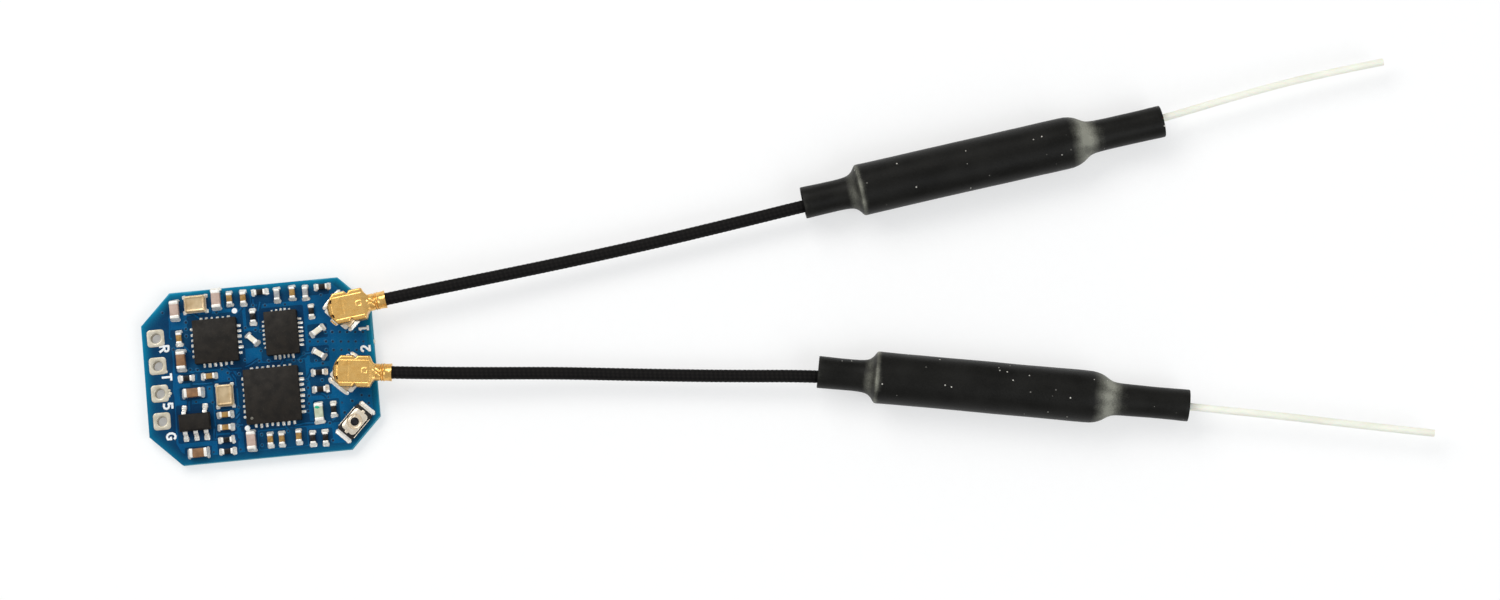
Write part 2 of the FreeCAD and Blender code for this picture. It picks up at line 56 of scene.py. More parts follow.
class Port:  # one output of a node; + - * / on it add Math nodes
    def __init__(self, tree, socket=None):
        self.tree, self.socket = tree, socket

    def node(self, kind, settings=None, sockets=None, out=0):
        made = self.tree.nodes.new(kind)
        for key, value in (settings or {}).items():
            setattr(made, key, value)
        for key, value in (sockets or {}).items():
            if isinstance(value, Port):
                self.tree.links.new(value.socket, made.inputs[key])
            else:
                made.inputs[key].default_value = value
        return Port(self.tree, made.outputs[out] if len(made.outputs) else None)

    def calc(self, operation, other=None, swap=False):
        pair = (other, self) if swap else (self, other)
        values = {i: value for i, value in enumerate(pair) if value is not None}
        return self.node("ShaderNodeMath", {"operation": operation}, values)

    def __add__(self, other):
        return self.calc("ADD", other)

    def __sub__(self, other):
        return self.calc("SUBTRACT", other)

    def __mul__(self, other):
        return self.calc("MULTIPLY", other)

    def __truediv__(self, other):
        return self.calc("DIVIDE", other)

    def __rsub__(self, other):
        return self.calc("SUBTRACT", other, True)

    def __rtruediv__(self, other):
        return self.calc("DIVIDE", other, True)

    __radd__, __rmul__ = __add__, __mul__

    def fit(self, low, high, toLow=0.0, toHigh=1.0):
        values = {0: self, 1: low, 2: high, 3: toLow, 4: toHigh}
        return self.node("ShaderNodeMapRange", None, values)

    def blend(self, first, second):  # a colour between two, by this mask
        return self.node("ShaderNodeMix", {"data_type": "RGBA"},
                         {0: self, 6: tint(first), 7: tint(second)}, 2)

    def grain(self, size, detail=2.0):  # cloudy noise whose lumps are about size wide
        values = {"Vector": self, "Scale": 1 / size, "Detail": detail}
        return self.node("ShaderNodeTexNoise", None, values)

    def specks(self, size):  # distance from scattered points about size apart
        return self.node("ShaderNodeTexVoronoi", None, {"Vector": self, "Scale": 1 / size})

    def stretched(self, x, y, z):
        return self.node("ShaderNodeMapping", None, {"Vector": self, "Scale": (x, y, z)})

    def axis(self, index):
        return self.node("ShaderNodeSeparateXYZ", None, {0: self}, index)


def tint(value):
    return (*value, 1.0) if isinstance(value, tuple) and len(value) == 3 else value


# Finishes

def startFinish(name):
    finish = bpy.data.materials.new(name)
    finish.use_nodes = True
    finish.node_tree.nodes.clear()
    at = Port(finish.node_tree).node("ShaderNodeTexCoord", out=3)
    return finish, at.node("ShaderNodeVectorMath", {"operation": "SCALE"}, {0: at, 3: 1 / mm})


def endFinish(at, color, rough, metal, relief, depth, fixed):
    bump = at.node("ShaderNodeBump", None, {"Height": relief, "Distance": depth * mm})
    sockets = {"Base Color": tint(color), "Roughness": rough, "Metallic": metal,
               "Specular IOR Level": 0.22 if metal < 0.3 else 0.5, "Normal": bump}
    shader = at.node("ShaderNodeBsdfPrincipled", None, {**sockets, **(fixed or {})})
    at.node("ShaderNodeOutputMaterial", None, {"Surface": shader})


def makeFinish(name, color, second, patch, fine, rough, depth, metal, extra=None):
    extra = extra or {}  # may hold a stretch of the pattern, (size, colour) of specks and fixed sockets
    finish, at = startFinish(name)
    spread = at.stretched(*extra.get("stretch", (1, 1, 1)))
    patches = spread.grain(patch, 3.0)
    relief = spread.grain(fine, 3.0)
    paint = patches.fit(0.35, 0.65).blend(color, second)
    if "speck" in extra:
        size, speck = extra["speck"]
        paint = at.specks(size).fit(0.08, 0.16, 1, 0).blend(paint, speck)
    gloss = (patches * 0.5 + relief * 0.5).fit(0.35, 0.65, *rough)
    endFinish(at, paint, gloss, metal, relief, depth, extra.get("fixed"))
    return finish


finishLooks = {  # two tints, size of patches and grain, roughness, depth of relief, metallic
    "moulded epoxy": ((0.014, 0.0105, 0.007), (0.006, 0.0045, 0.003), 0.9, 0.07, (0.46, 0.64), 0.005, 0,
        {"speck": (0.17, (0.04, 0.036, 0.03))}),
    "moulded dimple": ((0.19, 0.18, 0.15), (0.12, 0.11, 0.09), 0.2, 0.05, (0.3, 0.5), 0.003, 0),
    # near-white solder with darker patches: partly its own tone, partly painted reflection for its bright
    # glints
    "soldered joint": ((1.0, 1.0, 0.96), (0.7, 0.66, 0.57), 0.17, 0.1, (0.12, 0.34), 0.01, 0.3),
    "tinned end": ((1.0, 0.98, 0.93), (0.84, 0.8, 0.72), 0.22, 0.05, (0.24, 0.42), 0.003, 0.3),
    "pad plating": ((0.63, 0.585, 0.48), (0.5, 0.45, 0.34), 0.45, 0.08, (0.34, 0.52), 0.004, 0.5),
    "fired ceramic": ((0.74, 0.7, 0.6), (0.62, 0.57, 0.46), 0.6, 0.06, (0.35, 0.6), 0.004, 0),
    "satin lid": ((0.66, 0.51, 0.31), (0.46, 0.33, 0.18), 0.9, 0.05, (0.3, 0.46), 0.003, 0.75),
    "pink ceramic": ((0.56, 0.42, 0.35), (0.47, 0.34, 0.28), 0.4, 0.05, (0.3, 0.5), 0.003, 0),
    "brown ceramic": ((0.31, 0.162, 0.078), (0.21, 0.11, 0.052), 0.4, 0.05, (0.28, 0.5), 0.003, 0),
    "tan ceramic": ((0.42, 0.245, 0.07), (0.25, 0.14, 0.045), 0.3, 0.05, (0.28, 0.5), 0.003, 0),
    "black glaze": ((0.006, 0.0055, 0.005), (0.014, 0.012, 0.011), 0.25, 0.06, (0.24, 0.42), 0.002, 0),
    "grey ceramic": ((0.42, 0.42, 0.41), (0.3, 0.31, 0.32), 0.3, 0.05, (0.3, 0.5), 0.003, 0),
    "white ceramic": ((0.88, 0.84, 0.7), (0.76, 0.71, 0.58), 0.3, 0.05, (0.3, 0.5), 0.003, 0),
    "black moulding": ((0.012, 0.011, 0.011), (0.022, 0.02, 0.019), 0.5, 0.06, (0.35, 0.55), 0.004, 0),
    "plunger rubber": ((0.007, 0.007, 0.009), (0.014, 0.014, 0.018), 0.3, 0.05, (0.2, 0.36), 0.002, 0),
    "pressed steel": ((1.0, 0.9, 0.75), (0.8, 0.68, 0.52), 0.5, 0.04, (0.2, 0.35), 0.003, 0.72,
        {"stretch": (3, 1, 1)}),
    "white polymer": ((0.86, 0.84, 0.77), (0.76, 0.73, 0.66), 0.5, 0.06, (0.38, 0.58), 0.004, 0),
    "jack plating": ((0.8, 0.64, 0.42), (0.62, 0.46, 0.27), 0.5, 0.06, (0.26, 0.42), 0.003, 0.8),
    "gold plating": ((1.0, 0.61, 0.195), (0.8, 0.455, 0.125), 0.6, 0.07, (0.18, 0.34), 0.003, 0.8,
        {"stretch": (1.0, 1.8, 1.0)}),
    "drawn brass": ((0.74, 0.52, 0.22), (0.6, 0.4, 0.16), 0.8, 0.06, (0.26, 0.44), 0.004, 1.0,
        {"stretch": (0.2, 1, 1)}),
    "silvered wire": ((0.62, 0.6, 0.55), (0.5, 0.47, 0.42), 0.5, 0.05, (0.25, 0.45), 0.003, 1.0),
    "cream insulation": ((0.88, 0.885, 0.79), (0.78, 0.785, 0.68), 1.2, 0.12, (0.26, 0.42), 0.006, 0,
        # its small emission is a painted glow, for light passing through the translucent insulation
        {"stretch": (0.3, 1, 1), "fixed": {"Subsurface Weight": 0.15, "Subsurface Scale": 0.3 * mm,
         "Emission Color": (1.0, 1.0, 0.88, 1.0), "Emission Strength": 0.06}}),
    "white ink": ((0.93, 0.95, 0.95), (0.84, 0.88, 0.9), 0.3, 0.06, (0.4, 0.6), 0.004, 0),
    "lamp resin": ((0.56, 0.61, 0.46), (0.44, 0.49, 0.34), 0.35, 0.08, (0.12, 0.28), 0.003, 0,
        {"fixed": {"Coat Weight": 0.4}}),
    "green ink": ((0.01, 0.38, 0.2), (0.02, 0.5, 0.3), 0.2, 0.05, (0.3, 0.45), 0.002, 0),
    "via rim": ((0.004, 0.125, 0.27), (0.002, 0.09, 0.21), 0.3, 0.05, (0.2, 0.3), 0.002, 0),
    # the via well's near-black blue is painted shade for the via's hole
    "shaded via well": ((0.002, 0.014, 0.042), (0.003, 0.02, 0.055), 0.2, 0.05, (0.3, 0.5), 0.003, 0),
}
finishes = {name: makeFinish(name, *look) for name, look in finishLooks.items()}

boardLook = {
    "halfLength": 10.5, "halfWidth": 7.9, "chamfer": 2.8, "slant": 0.7071,
    "bare": (0.001, 0.032, 0.094), "bareSecond": (0.002, 0.050, 0.125),
    # painted light: paintedGlow is the mask's colour where light seems to shine in through the board's
    # edges; glowReach, rim and the glow keys shape that painted glow
    "paintedGlow": (0.001, 0.205, 0.36), "glowReach": 1.15,
    "overCopper": (0.001, 0.068, 0.186), "overCopperSecond": (0.001, 0.094, 0.232),
    # the side plies' blue-teal is partly the laminate's own tone, partly painted edge glow
    "laminate": (0.05, 0.34, 0.46), "fibre": (0.015, 0.22, 0.34), "plyPitch": 0.16,
    "rough": (0.2, 0.34), "sheen": 0.1, "rim": (0.10, 0.42, 0.58),
    "glowMiddle": 0.55, "glowX": 0.032, "glowY": 0.055,
}


def boardReach(x, y, look):  # how far inside the board's edge a spot is
    x, y = x.calc("ABSOLUTE"), y.calc("ABSOLUTE")
    corner = (look["halfLength"] + look["halfWidth"] - look["chamfer"] - x - y) * look["slant"]
    return (look["halfLength"] - x).calc("MINIMUM", look["halfWidth"] - y).calc("MINIMUM", corner)


def maskFinish(name, look, tints):  # solder mask with painted light glowing in from its edges; laminate on the sides, tinted partly with painted glow
    finish, at = startFinish(name)
    x, y, z = (at.axis(i) for i in range(3))
    edge = boardReach(x, y, look)
    cloud = at.grain(2.4, 3.0)
    fine = at.grain(0.11, 3.0)
    # painted glow: lighter near the edges, stronger at the ends and towards +y, with a painted bright rim
    # band at the very edge
    glow = (edge + cloud * 0.5 - 0.25).fit(0.0, look["glowReach"], 1, 0)
    place = x.calc("ABSOLUTE") * look["glowX"] + y * look["glowY"] + look["glowMiddle"]
    glow = glow * glow * place.fit(0.2, 1.2, 0.3, 1.15)
    color = cloud.fit(0.38, 0.62).blend(*tints)
    color = glow.blend(color, look["paintedGlow"])
    color = glow.fit(0.88, 1.15, 0.0, 0.8).blend(color, look["rim"])
    facing = at.node("ShaderNodeNewGeometry", out="Normal").axis(2).calc("ABSOLUTE")
    plies = (z * (1 / look["plyPitch"]) + at.stretched(1, 1, 3).grain(0.4) * 0.8).calc("FRACT")
    side = (plies * 0.6 + at.grain(0.09) * 0.4).fit(0.3, 0.7).blend(look["laminate"], look["fibre"])
    color = facing.fit(0.3, 0.6).blend(side, color)
    rough = facing.fit(0.3, 0.6, 0.7, 0.0).calc("MAXIMUM", fine.fit(0.35, 0.65, *look["rough"]))
    weave = at.stretched(1, 0.25, 1).grain(0.28) + at.stretched(0.25, 1, 1).grain(0.28)
    endFinish(at, color, rough, 0.0, weave * 0.5 + fine * 0.2, 0.008,
              {"Specular IOR Level": look["sheen"]})
    return finish


finishes["mask on laminate"] = maskFinish(
    "mask on laminate", boardLook, (boardLook["bare"], boardLook["bareSecond"]))
finishes["mask on copper"] = maskFinish(
    "mask on copper", boardLook, (boardLook["overCopper"], boardLook["overCopperSecond"]))

jacketLook = {"color": (0.0065, 0.006, 0.006), "thread": (0.013, 0.0118, 0.011), "pitch": 0.85,
              "strands": 5, "rough": (0.5, 0.68), "sheen": 0.06}


def jacketFinish(look):  # black jacket over a braid that shows through as fine crossed ribs
    finish, at = startFinish("cable jacket")
    along, around = (at.node("ShaderNodeAttribute", {"attribute_name": name}, out="Fac")
                     for name in ("along", "around"))
    turn = along * (2 * math.pi / (look["pitch"] * mm))
    spoke = around * (2 * math.pi * look["strands"])
    ribs = (turn + spoke).calc("SINE") * (turn - spoke).calc("SINE")
    fine = at.grain(0.07, 3.0)
    color = (ribs * 0.5 + fine).fit(0.3, 1.0).blend(look["color"], look["thread"])
    rough = (ribs * 0.2 + fine).fit(0.3, 0.8, *look["rough"])
    endFinish(at, color, rough, 0.0, ribs * 0.6 + fine * 0.5, 0.02,
              {"Specular IOR Level": look["sheen"]})
    return finish


finishes["cable jacket"] = jacketFinish(jacketLook)

shrinkLook = {"color": (0.0068, 0.0066, 0.0058), "second": (0.0125, 0.0122, 0.0108),
              "stressedAndSheen": (0.27, 0.27, 0.225), "dust": (0.62, 0.60, 0.54), "rough": (0.34, 0.5),
              "sheen": 0.1}


def shrinkFinish(look):  # matt black tube, whitened on its shoulders, partly where it stretched and partly as painted sheen, with a little dust
    finish, at = startFinish("heat shrink")
    pullAndSheen = at.node("ShaderNodeAttribute", {"attribute_name": "pullAndSheen"}, out="Fac")
    cloud = at.grain(2.6, 4.0)
    fine = at.grain(0.12, 4.0)
    color = (cloud * 0.6 + fine * 0.4).fit(0.38, 0.64).blend(look["color"], look["second"])
    # whitening on the shoulders: partly stress-whitening, partly painted sheen and a painted rim
    # highlight
    white = (pullAndSheen * (cloud * 1.2 + fine * 0.9 - 0.5)).fit(0.04, 0.7)
    color = white.blend(color, look["stressedAndSheen"])
    dots = at.specks(0.95)
    some = at.grain(4.5).fit(0.44, 0.54)
    dust = dots.fit(0.055, 0.09, 1, 0) * some
    color = dust.blend(color, look["dust"])
    rough = (fine * 0.6 + cloud * 0.4 + white * 0.3).fit(0.35, 0.75, *look["rough"])
    endFinish(at, color, rough, 0.0, fine * 0.6 + cloud * 0.4 + dust, 0.03,
              {"Specular IOR Level": look["sheen"]})
    return finish


finishes["heat shrink"] = shrinkFinish(shrinkLook)
print("finishes ready:", len(finishes))


# Mesh making

class Solid:  # points and faces of a piece, in millimetres
    def __init__(self):
        self.points, self.faces = [], []

    def loft(self, rings, capStart=True, capEnd=True, closed=False):  # closed: back to the first ring
        first, count = len(self.points), len(rings[0])
        for ring in rings:
            self.points += [Vector(point) for point in ring]
        for i in range(len(rings) - 1 + closed):
            low, high = first + i * count, first + (i + 1) % len(rings) * count
            for j in range(count):
                k = (j + 1) % count
                self.faces.append((low + j, low + k, high + k, high + j))
        if capStart and not closed:
            self.faces.append(tuple(range(first + count - 1, first - 1, -1)))
        if capEnd and not closed:
            last = first + (len(rings) - 1) * count
            self.faces.append(tuple(range(last, last + count)))
        return self

    def spin(self, profile, sides=32, capStart=False):  # (radius, height) about Z
        steps = [2 * math.pi * i / sides for i in range(sides)]
        rings = [[(r * math.cos(a), r * math.sin(a), z) for a in steps] for r, z in profile]
        return self.loft(rings, capStart, False)

    def add(self, other, x=0.0, y=0.0, z=0.0, turn=0.0):
        spot = Matrix.Translation((x, y, z)) @ Matrix.Rotation(math.radians(turn), 4, "Z")
        first = len(self.points)
        self.points += [spot @ point for point in other.points]
        self.faces += [tuple(first + i for i in face) for face in other.faces]
        return self

    def moved(self, x, y, z=0.0, turn=0.0):
        return Solid().add(self, x, y, z, turn)


def outwards(x, y, turn, out, along=0.0):  # the spot that lies out from x, y at a turn, and to its left
    a = math.radians(turn)
    return (x + out * math.cos(a) - along * math.sin(a), y + out * math.sin(a) + along * math.cos(a))


def roundRect(length, width, radius, steps):
    outline = []
    for sx, sy, start in ((1, 1, 0), (-1, 1, 90), (-1, -1, 180), (1, -1, 270)):
        for i in range(steps + 1):
            a = math.radians(start + 90 * i / steps)
            outline.append((sx * (length / 2 - radius) + radius * math.cos(a),
                            sy * (width / 2 - radius) + radius * math.sin(a)))
    return outline


def rayRect(length, width, radius, count):  # a rounded rectangle with points at even angles
    outline, cx, cy = [], length / 2 - radius, width / 2 - radius
    for i in range(count):
        a = 2 * math.pi * (i + 0.5) / count
        c, s = abs(math.cos(a)), abs(math.sin(a))
        reach = min(length / 2 / c, width / 2 / s)
        if reach * c > cx and reach * s > cy:
            along = c * cx + s * cy
            reach = along + math.sqrt(max(0.0, along ** 2 - cx ** 2 - cy ** 2 + radius ** 2))
        outline.append((reach * math.cos(a), reach * math.sin(a)))
    return outline


def blockRings(length, width, radius, levels, steps=4):  # rings of a block at (inset, height)
    return [[(*p, z) for p in roundRect(length - 2 * inset, width - 2 * inset,
                                        max(radius - inset, 0.012), steps)]
            for inset, z in levels]


def ringsRound(stops, length, width, corner, count=64):  # a closed skin between a block and a hole
    rings = []
    for kind, inset, z in stops:  # a block ring is inset, a round ring is a radius
        if kind == "block":
            outline = rayRect(length - 2 * inset, width - 2 * inset, max(corner - inset, 0.02), count)
        else:
            outline = rayRect(2 * inset, 2 * inset, inset, count)
        rings.append([(*p, z) for p in outline])
    return Solid().loft(rings, closed=True)


def softLevels(low, high, soft, softLow=0.0, steps=3):  # (inset, height) with rounded rims
    angles = [math.pi / 2 * i / steps for i in range(steps + 1)]
    foot = [(softLow * (1 - math.sin(a)), low + softLow * (1 - math.cos(a))) for a in angles]
    head = [(soft * (1 - math.cos(a)), high - soft * (1 - math.sin(a))) for a in angles]
    return (foot if softLow else [(0.0, low)]) + head


def block(length, width, radius, low, high, soft, softLow=0.0, steps=3):
    return Solid().loft(blockRings(length, width, radius, softLevels(low, high, soft, softLow, steps)))


def bentStrip(path, width, sheet, soft=0.03):  # a strip bent in the X-Z plane
    rings = []
    for i, (px, pz) in enumerate(path):
        a, b = Vector(path[max(0, i - 1)]), Vector(path[min(len(path) - 1, i + 1)])
        way = (b - a).normalized()
        rings.append([(px - way.y * v, -w, pz + way.x * v) for w, v in roundRect(width, sheet, soft, 2)])
    return Solid().loft(rings)


def shrunk(outline, inset):  # the outline moved inwards by inset
    count, moved = len(outline), []
    for i in range(count):
        before, here, after = (Vector(outline[j % count][:2]) for j in (i - 1, i, i + 1))
        a, b = (here - before).normalized(), (after - here).normalized()
        a, b = Vector((-a.y, a.x)), Vector((-b.y, b.x))
        moved.append(here + (a + b) * (inset / max(0.25, 1 + a.dot(b))))
    return moved


def slab(outline, low, high, soft):  # a raised outline with a rounded rim
    return Solid().loft([[(*p, z) for p in shrunk(outline, inset)]
                         for inset, z in softLevels(low, high, soft)])


def within(point, loop):
    inside = False
    for a, b in zip(loop, loop[1:] + loop[:1]):
        if (a.y > point.y) != (b.y > point.y):
            if point.x < a.x + (point.y - a.y) * (b.x - a.x) / (b.y - a.y):
                inside = not inside
    return inside


def edgeReach(point, loop):  # how far a point is from a loop's edge
    nearest = 99.0
    for a, b in zip(loop, loop[1:] + loop[:1]):
        way = b - a
        share = min(1.0, max(0.0, (point - a).dot(way) / way.length_squared))
        nearest = min(nearest, (a + way * share - point).length)
    return nearest


def pressed(outline, low, height, gaps, step=None):  # a sheet over an outline, with openings
    loops = [[Vector(p) for p in loop] for loop in (outline, *gaps)]
    if step:
        loops = [[a + (b - a) * i / cuts for a, b in zip(loop, loop[1:] + loop[:1])
                  for cuts in [max(1, round((b - a).length / step))] for i in range(cuts)]
                 for loop in loops]
    points, edges = [], []
    for loop in loops:
        first = len(points)
        points += loop
        edges += [(first + i, first + (i + 1) % len(loop)) for i in range(len(loop))]
    if step:
        far = int(max(max(abs(v) for v in p) for p in loops[0]) / step) + 1
        for i in range(-far, far + 1):
            for j in range(-far, far + 1):
                spot = Vector((i * step, j * step))
                reach = min(edgeReach(spot, loop) for loop in loops)
                if within(spot, loops[0]) and reach > step * 0.45:
                    points.append(spot)
    spots, _, faces, _, _, _ = delaunay_2d_cdt(points, edges, [], 0, 1e-5)
    kept = []
    for face in faces:
        middle = sum((spots[i] for i in face), Vector((0, 0))) / len(face)
        if within(middle, loops[0]) and not any(within(middle, gap) for gap in loops[1:]):
            kept.append(tuple(face))
    sheet, count = Solid(), len(spots)
    tops = [height(p, edgeReach(p, loops[0])) if callable(height) else height for p in spots]
    sheet.points = ([Vector((*p, z)) for p, z in zip(spots, tops)]
                    + [Vector((*p, low)) for p in spots])
    sheet.faces = kept + [tuple(i + count for i in reversed(face)) for face in kept]
    sides = {(a, b) for face in kept for a, b in zip(face, face[1:] + face[:1])}
    sheet.faces += [(b, a, a + count, b + count) for a, b in sides if (b, a) not in sides]
    return sheet


def toMesh(name, solid, finish, crease=38.0, marks=None):  # marks: an attribute's name and values
    mesh = bpy.data.meshes.new(name)
    mesh.from_pydata([point * mm for point in solid.points], [], solid.faces)
    if marks:
        mesh.attributes.new(marks[0], "FLOAT", "POINT").data.foreach_set("value", marks[1])
    work = bmesh.new()
    work.from_mesh(mesh)
    bmesh.ops.remove_doubles(work, verts=work.verts, dist=2e-7)
    bmesh.ops.recalc_face_normals(work, faces=work.faces)
    work.to_mesh(mesh)
    work.free()
    mesh.shade_smooth()
    mesh.set_sharp_from_angle(angle=math.radians(crease))
    mesh.materials.append(finishes[finish])
    return mesh


def show(name, mesh):
    shown = bpy.data.objects.new(name, mesh)
    bpy.context.scene.collection.objects.link(shown)
    return shown


def settle(piece, slot, *stands, body="receiver_board"):
    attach(piece, body)
    if stands:
        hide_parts(*stands)
    return piece


def makePiece(name, solid, finish, slot, *stands, body="receiver_board", crease=38.0):
    return settle(show(name, toMesh(name, solid, finish, crease)), slot, *stands, body=body)


def merged(name, pieces):  # several objects as one
    if len(pieces) > 1:
        with bpy.context.temp_override(active_object=pieces[0], object=pieces[0],
                                       selected_objects=pieces, selected_editable_objects=pieces):
            bpy.ops.object.join()
    pieces[0].name = pieces[0].data.name = name
    return pieces[0]


# Geometry Nodes

def startTree(name, inputs):
    tree = bpy.data.node_groups.new(name, "GeometryNodeTree")
    keys = {}
    for label, kind in inputs:
        made = tree.interface.new_socket(label, in_out="INPUT", socket_type="NodeSocket" + kind)
        keys[label] = made.identifier
    tree.interface.new_socket("Result", in_out="OUTPUT", socket_type="NodeSocketGeometry")
    return tree, keys, {label: Port(tree).node("NodeGroupInput", out=label) for label, _ in inputs}


def endTree(shape, finish):  # a plain mesh in one finish
    shape = shape.node("GeometryNodeRealizeInstances", None, {"Geometry": shape})
    shape = shape.node("GeometryNodeSetMaterial", None, {"Geometry": shape, "Material": finish})
    shape.node("NodeGroupOutput", None, {0: shape})


def buildCopyTree():  # a copy of a piece on every spot, turned and sized as the spot says
    tree, keys, given = startTree("Copies On Spots", [
        ("Spots", "Geometry"), ("Piece", "Object"), ("Size Jitter", "Float"),
        ("Turn Jitter", "Float"), ("Seed", "Int"), ("Finish", "Material")])
    piece = Port(tree).node("GeometryNodeObjectInfo", None, {"Object": given["Piece"]}, "Geometry")
    named = {name: Port(tree).node("GeometryNodeInputNamedAttribute", {"data_type": kind},
                                   {"Name": name}, "Attribute")
             for name, kind in (("turn", "FLOAT"), ("grow", "FLOAT_VECTOR"))}

    def chance(spread, seed):
        values = {2: spread * -1, 3: spread, "Seed": seed}
        return spread.node("FunctionNodeRandomValue", {"data_type": "FLOAT"}, values, 1)

    turn = named["turn"] + chance(given["Turn Jitter"], given["Seed"])
    size = chance(given["Size Jitter"], given["Seed"] + 1) + 1
    turn = turn.node("ShaderNodeCombineXYZ", None, {2: turn})
    size = size.node("ShaderNodeVectorMath", {"operation": "SCALE"}, {0: named["grow"], 3: size})
    copies = turn.node("GeometryNodeInstanceOnPoints", None, {
        "Points": given["Spots"], "Instance": piece, "Rotation": turn, "Scale": size})
    endTree(copies, given["Finish"])
    return tree, keys


def buildTubeTree():  # a round tube along a route, with crossed ribs standing out of it
    tree, keys, given = startTree("Ribbed Tube", [
        ("Route", "Geometry"), ("Radius", "Float"), ("Sides", "Int"), ("Step", "Float"),
        ("Rib Pitch", "Float"), ("Rib Count", "Float"), ("Rib Height", "Float"),
        ("Finish", "Material")])
    route = Port(tree).node("GeometryNodeResampleCurve", {"mode": "LENGTH"},
                            {"Curve": given["Route"], "Length": given["Step"]})
    circle = Port(tree).node("GeometryNodeCurvePrimitiveCircle", None,
                             {"Resolution": given["Sides"], "Radius": given["Radius"]})
    marks = {}
    for shape, name, source in ((route, "along", "Length"), (circle, "around", "Factor")):
        where = shape.node("GeometryNodeSplineParameter", out=source)
        marks[name] = shape.node("GeometryNodeStoreNamedAttribute", {"data_type": "FLOAT"},
                                 {"Geometry": shape, "Name": name, "Value": where})
    tube = route.node("GeometryNodeCurveToMesh", None, {
        "Curve": marks["along"], "Profile Curve": marks["around"], "Fill Caps": True})
    along, around = (tube.node("GeometryNodeInputNamedAttribute", {"data_type": "FLOAT"},
                               {"Name": name}, "Attribute") for name in ("along", "around"))
    turn = along * (2 * math.pi) / given["Rib Pitch"]
    spoke = around * (2 * math.pi) * given["Rib Count"]
    ribs = (turn + spoke).calc("SINE") * (turn - spoke).calc("SINE") * given["Rib Height"]
    out = tube.node("GeometryNodeInputNormal")
    out = out.node("ShaderNodeVectorMath", {"operation": "SCALE"}, {0: out, 3: ribs})
    tube = tube.node("GeometryNodeSetPosition", None, {"Geometry": tube, "Offset": out})
    tube = tube.node("GeometryNodeSetShadeSmooth", None, {"Geometry": tube})
    endTree(tube, given["Finish"])
    return tree, keys


def buildTrackTree():  # flat strips along routes, for copper tracks and ink
    tree, keys, given = startTree("Flat Tracks", [
        ("Routes", "Geometry"), ("Width", "Float"), ("Height", "Float"), ("Finish", "Material")])
    upright = Port(tree).node("GeometryNodeSetCurveNormal", {"mode": "Z_UP"},
                              {"Curve": given["Routes"]})
    bar = upright.node("GeometryNodeCurvePrimitiveQuadrilateral", None,
                       {"Width": given["Width"], "Height": given["Height"]})
    track = upright.node("GeometryNodeCurveToMesh", None, {
        "Curve": upright, "Profile Curve": bar, "Fill Caps": True})
    endTree(track, given["Finish"])
    return tree, keys


copyTree, tubeTree, trackTree = buildCopyTree(), buildTubeTree(), buildTrackTree()


def grown(name, host, treeAndKeys, values):  # runs a tree on a host object, as a plain mesh
    tree, keys = treeAndKeys
    modifier = host.modifiers.new(tree.name, "NODES")
    modifier.node_group = tree
    for label, value in values.items():
        modifier[keys[label]] = value
    graph = bpy.context.evaluated_depsgraph_get()
    mesh = bpy.data.meshes.new_from_object(
        host.evaluated_get(graph), preserve_all_data_layers=True, depsgraph=graph)
    mesh.name = name
    bpy.data.objects.remove(host)
    return show(name, mesh)


def copies(name, solid, finish, spots, sizeJitter=0.0, turnJitter=0.0, seed=1, crease=38.0):
    # spots are (x, y, z, turn in degrees), with growth along x, y and z where they aren't alike
    template = show(name + "Template", toMesh(name + "Template", solid, finish, crease))
    points = bpy.data.meshes.new(name + "Spots")
    points.from_pydata([Vector(spot[:3]) * mm for spot in spots], [], [])
    turns = points.attributes.new("turn", "FLOAT", "POINT")
    turns.data.foreach_set("value", [math.radians(spot[3]) for spot in spots])
    sizes = points.attributes.new("grow", "FLOAT_VECTOR", "POINT")
    sizes.data.foreach_set("vector", [v for spot in spots for v in (spot[4:7] or (1, 1, 1))])
    made = grown(name, show(name + "Host", points), copyTree, {
        "Piece": template, "Size Jitter": sizeJitter, "Turn Jitter": math.radians(turnJitter),
        "Seed": seed, "Finish": finishes[finish]})
    bpy.data.objects.remove(template)
    return made


def curveObject(name, routes, smooth):
    curve = bpy.data.curves.new(name, "CURVE")
    curve.dimensions = "3D"
    for route in routes:
        spline = curve.splines.new("NURBS" if smooth else "POLY")
        spline.points.add(len(route) - 1)
        for point, spot in zip(spline.points, route):
            point.co = (*(value * mm for value in spot), 1.0)
        if smooth:
            spline.order_u = 3
            spline.use_endpoint_u = True
            spline.resolution_u = 16
    return show(name, curve)


print("node trees ready")


# Camera, floor and light

view = {
    "place": (41.187, -37.726, 327.54), "target": (45.059, 2.304, 0.0), "up": (0.0963, 0.9954, 0.0),
    "focus": 3602.48, "imageWidth": 1500, "sensor": 36.0,
}


def makeCamera(look):
    camera = bpy.data.cameras.new("Camera")
    camera.sensor_width = look["sensor"]
    camera.lens = look["focus"] / look["imageWidth"] * look["sensor"]
    camera.clip_start, camera.clip_end = 10 * mm, 3000 * mm
    ahead = (Vector(look["target"]) - Vector(look["place"])).normalized()
    right = ahead.cross(Vector(look["up"])).normalized()
    up = right.cross(ahead)
    turned = Matrix((right, up, -ahead)).transposed().to_4x4()
    holder = bpy.data.objects.new("Camera", camera)
    holder.matrix_world = Matrix.Translation(Vector(look["place"]) * mm) @ turned
    bpy.context.scene.collection.objects.link(holder)
    bpy.context.scene.camera = holder


makeCamera(view)

light = {
    "sky": (0.94, 0.965, 1.0), "skyPower": 0.47, "ground": (0.80, 0.80, 0.79),
    "floor": (0.80, 0.80, 0.795), "floorShare": 0.42, "floorWhite": 1.25, "paintedShadeUnderBoard": 0.5,
    "floorSide": 4.0, "aim": (50, 0, 0),
    "lamps": [
        {"name": "Window", "place": (-165, 265, 370), "size": (420, 250), "power": 1.5,
         "color": (1.0, 0.985, 0.96)},
        {"name": "Fill", "place": (270, -205, 320), "size": (300, 280), "power": 0.72,
         "color": (0.95, 0.975, 1.0)},
    ],
}


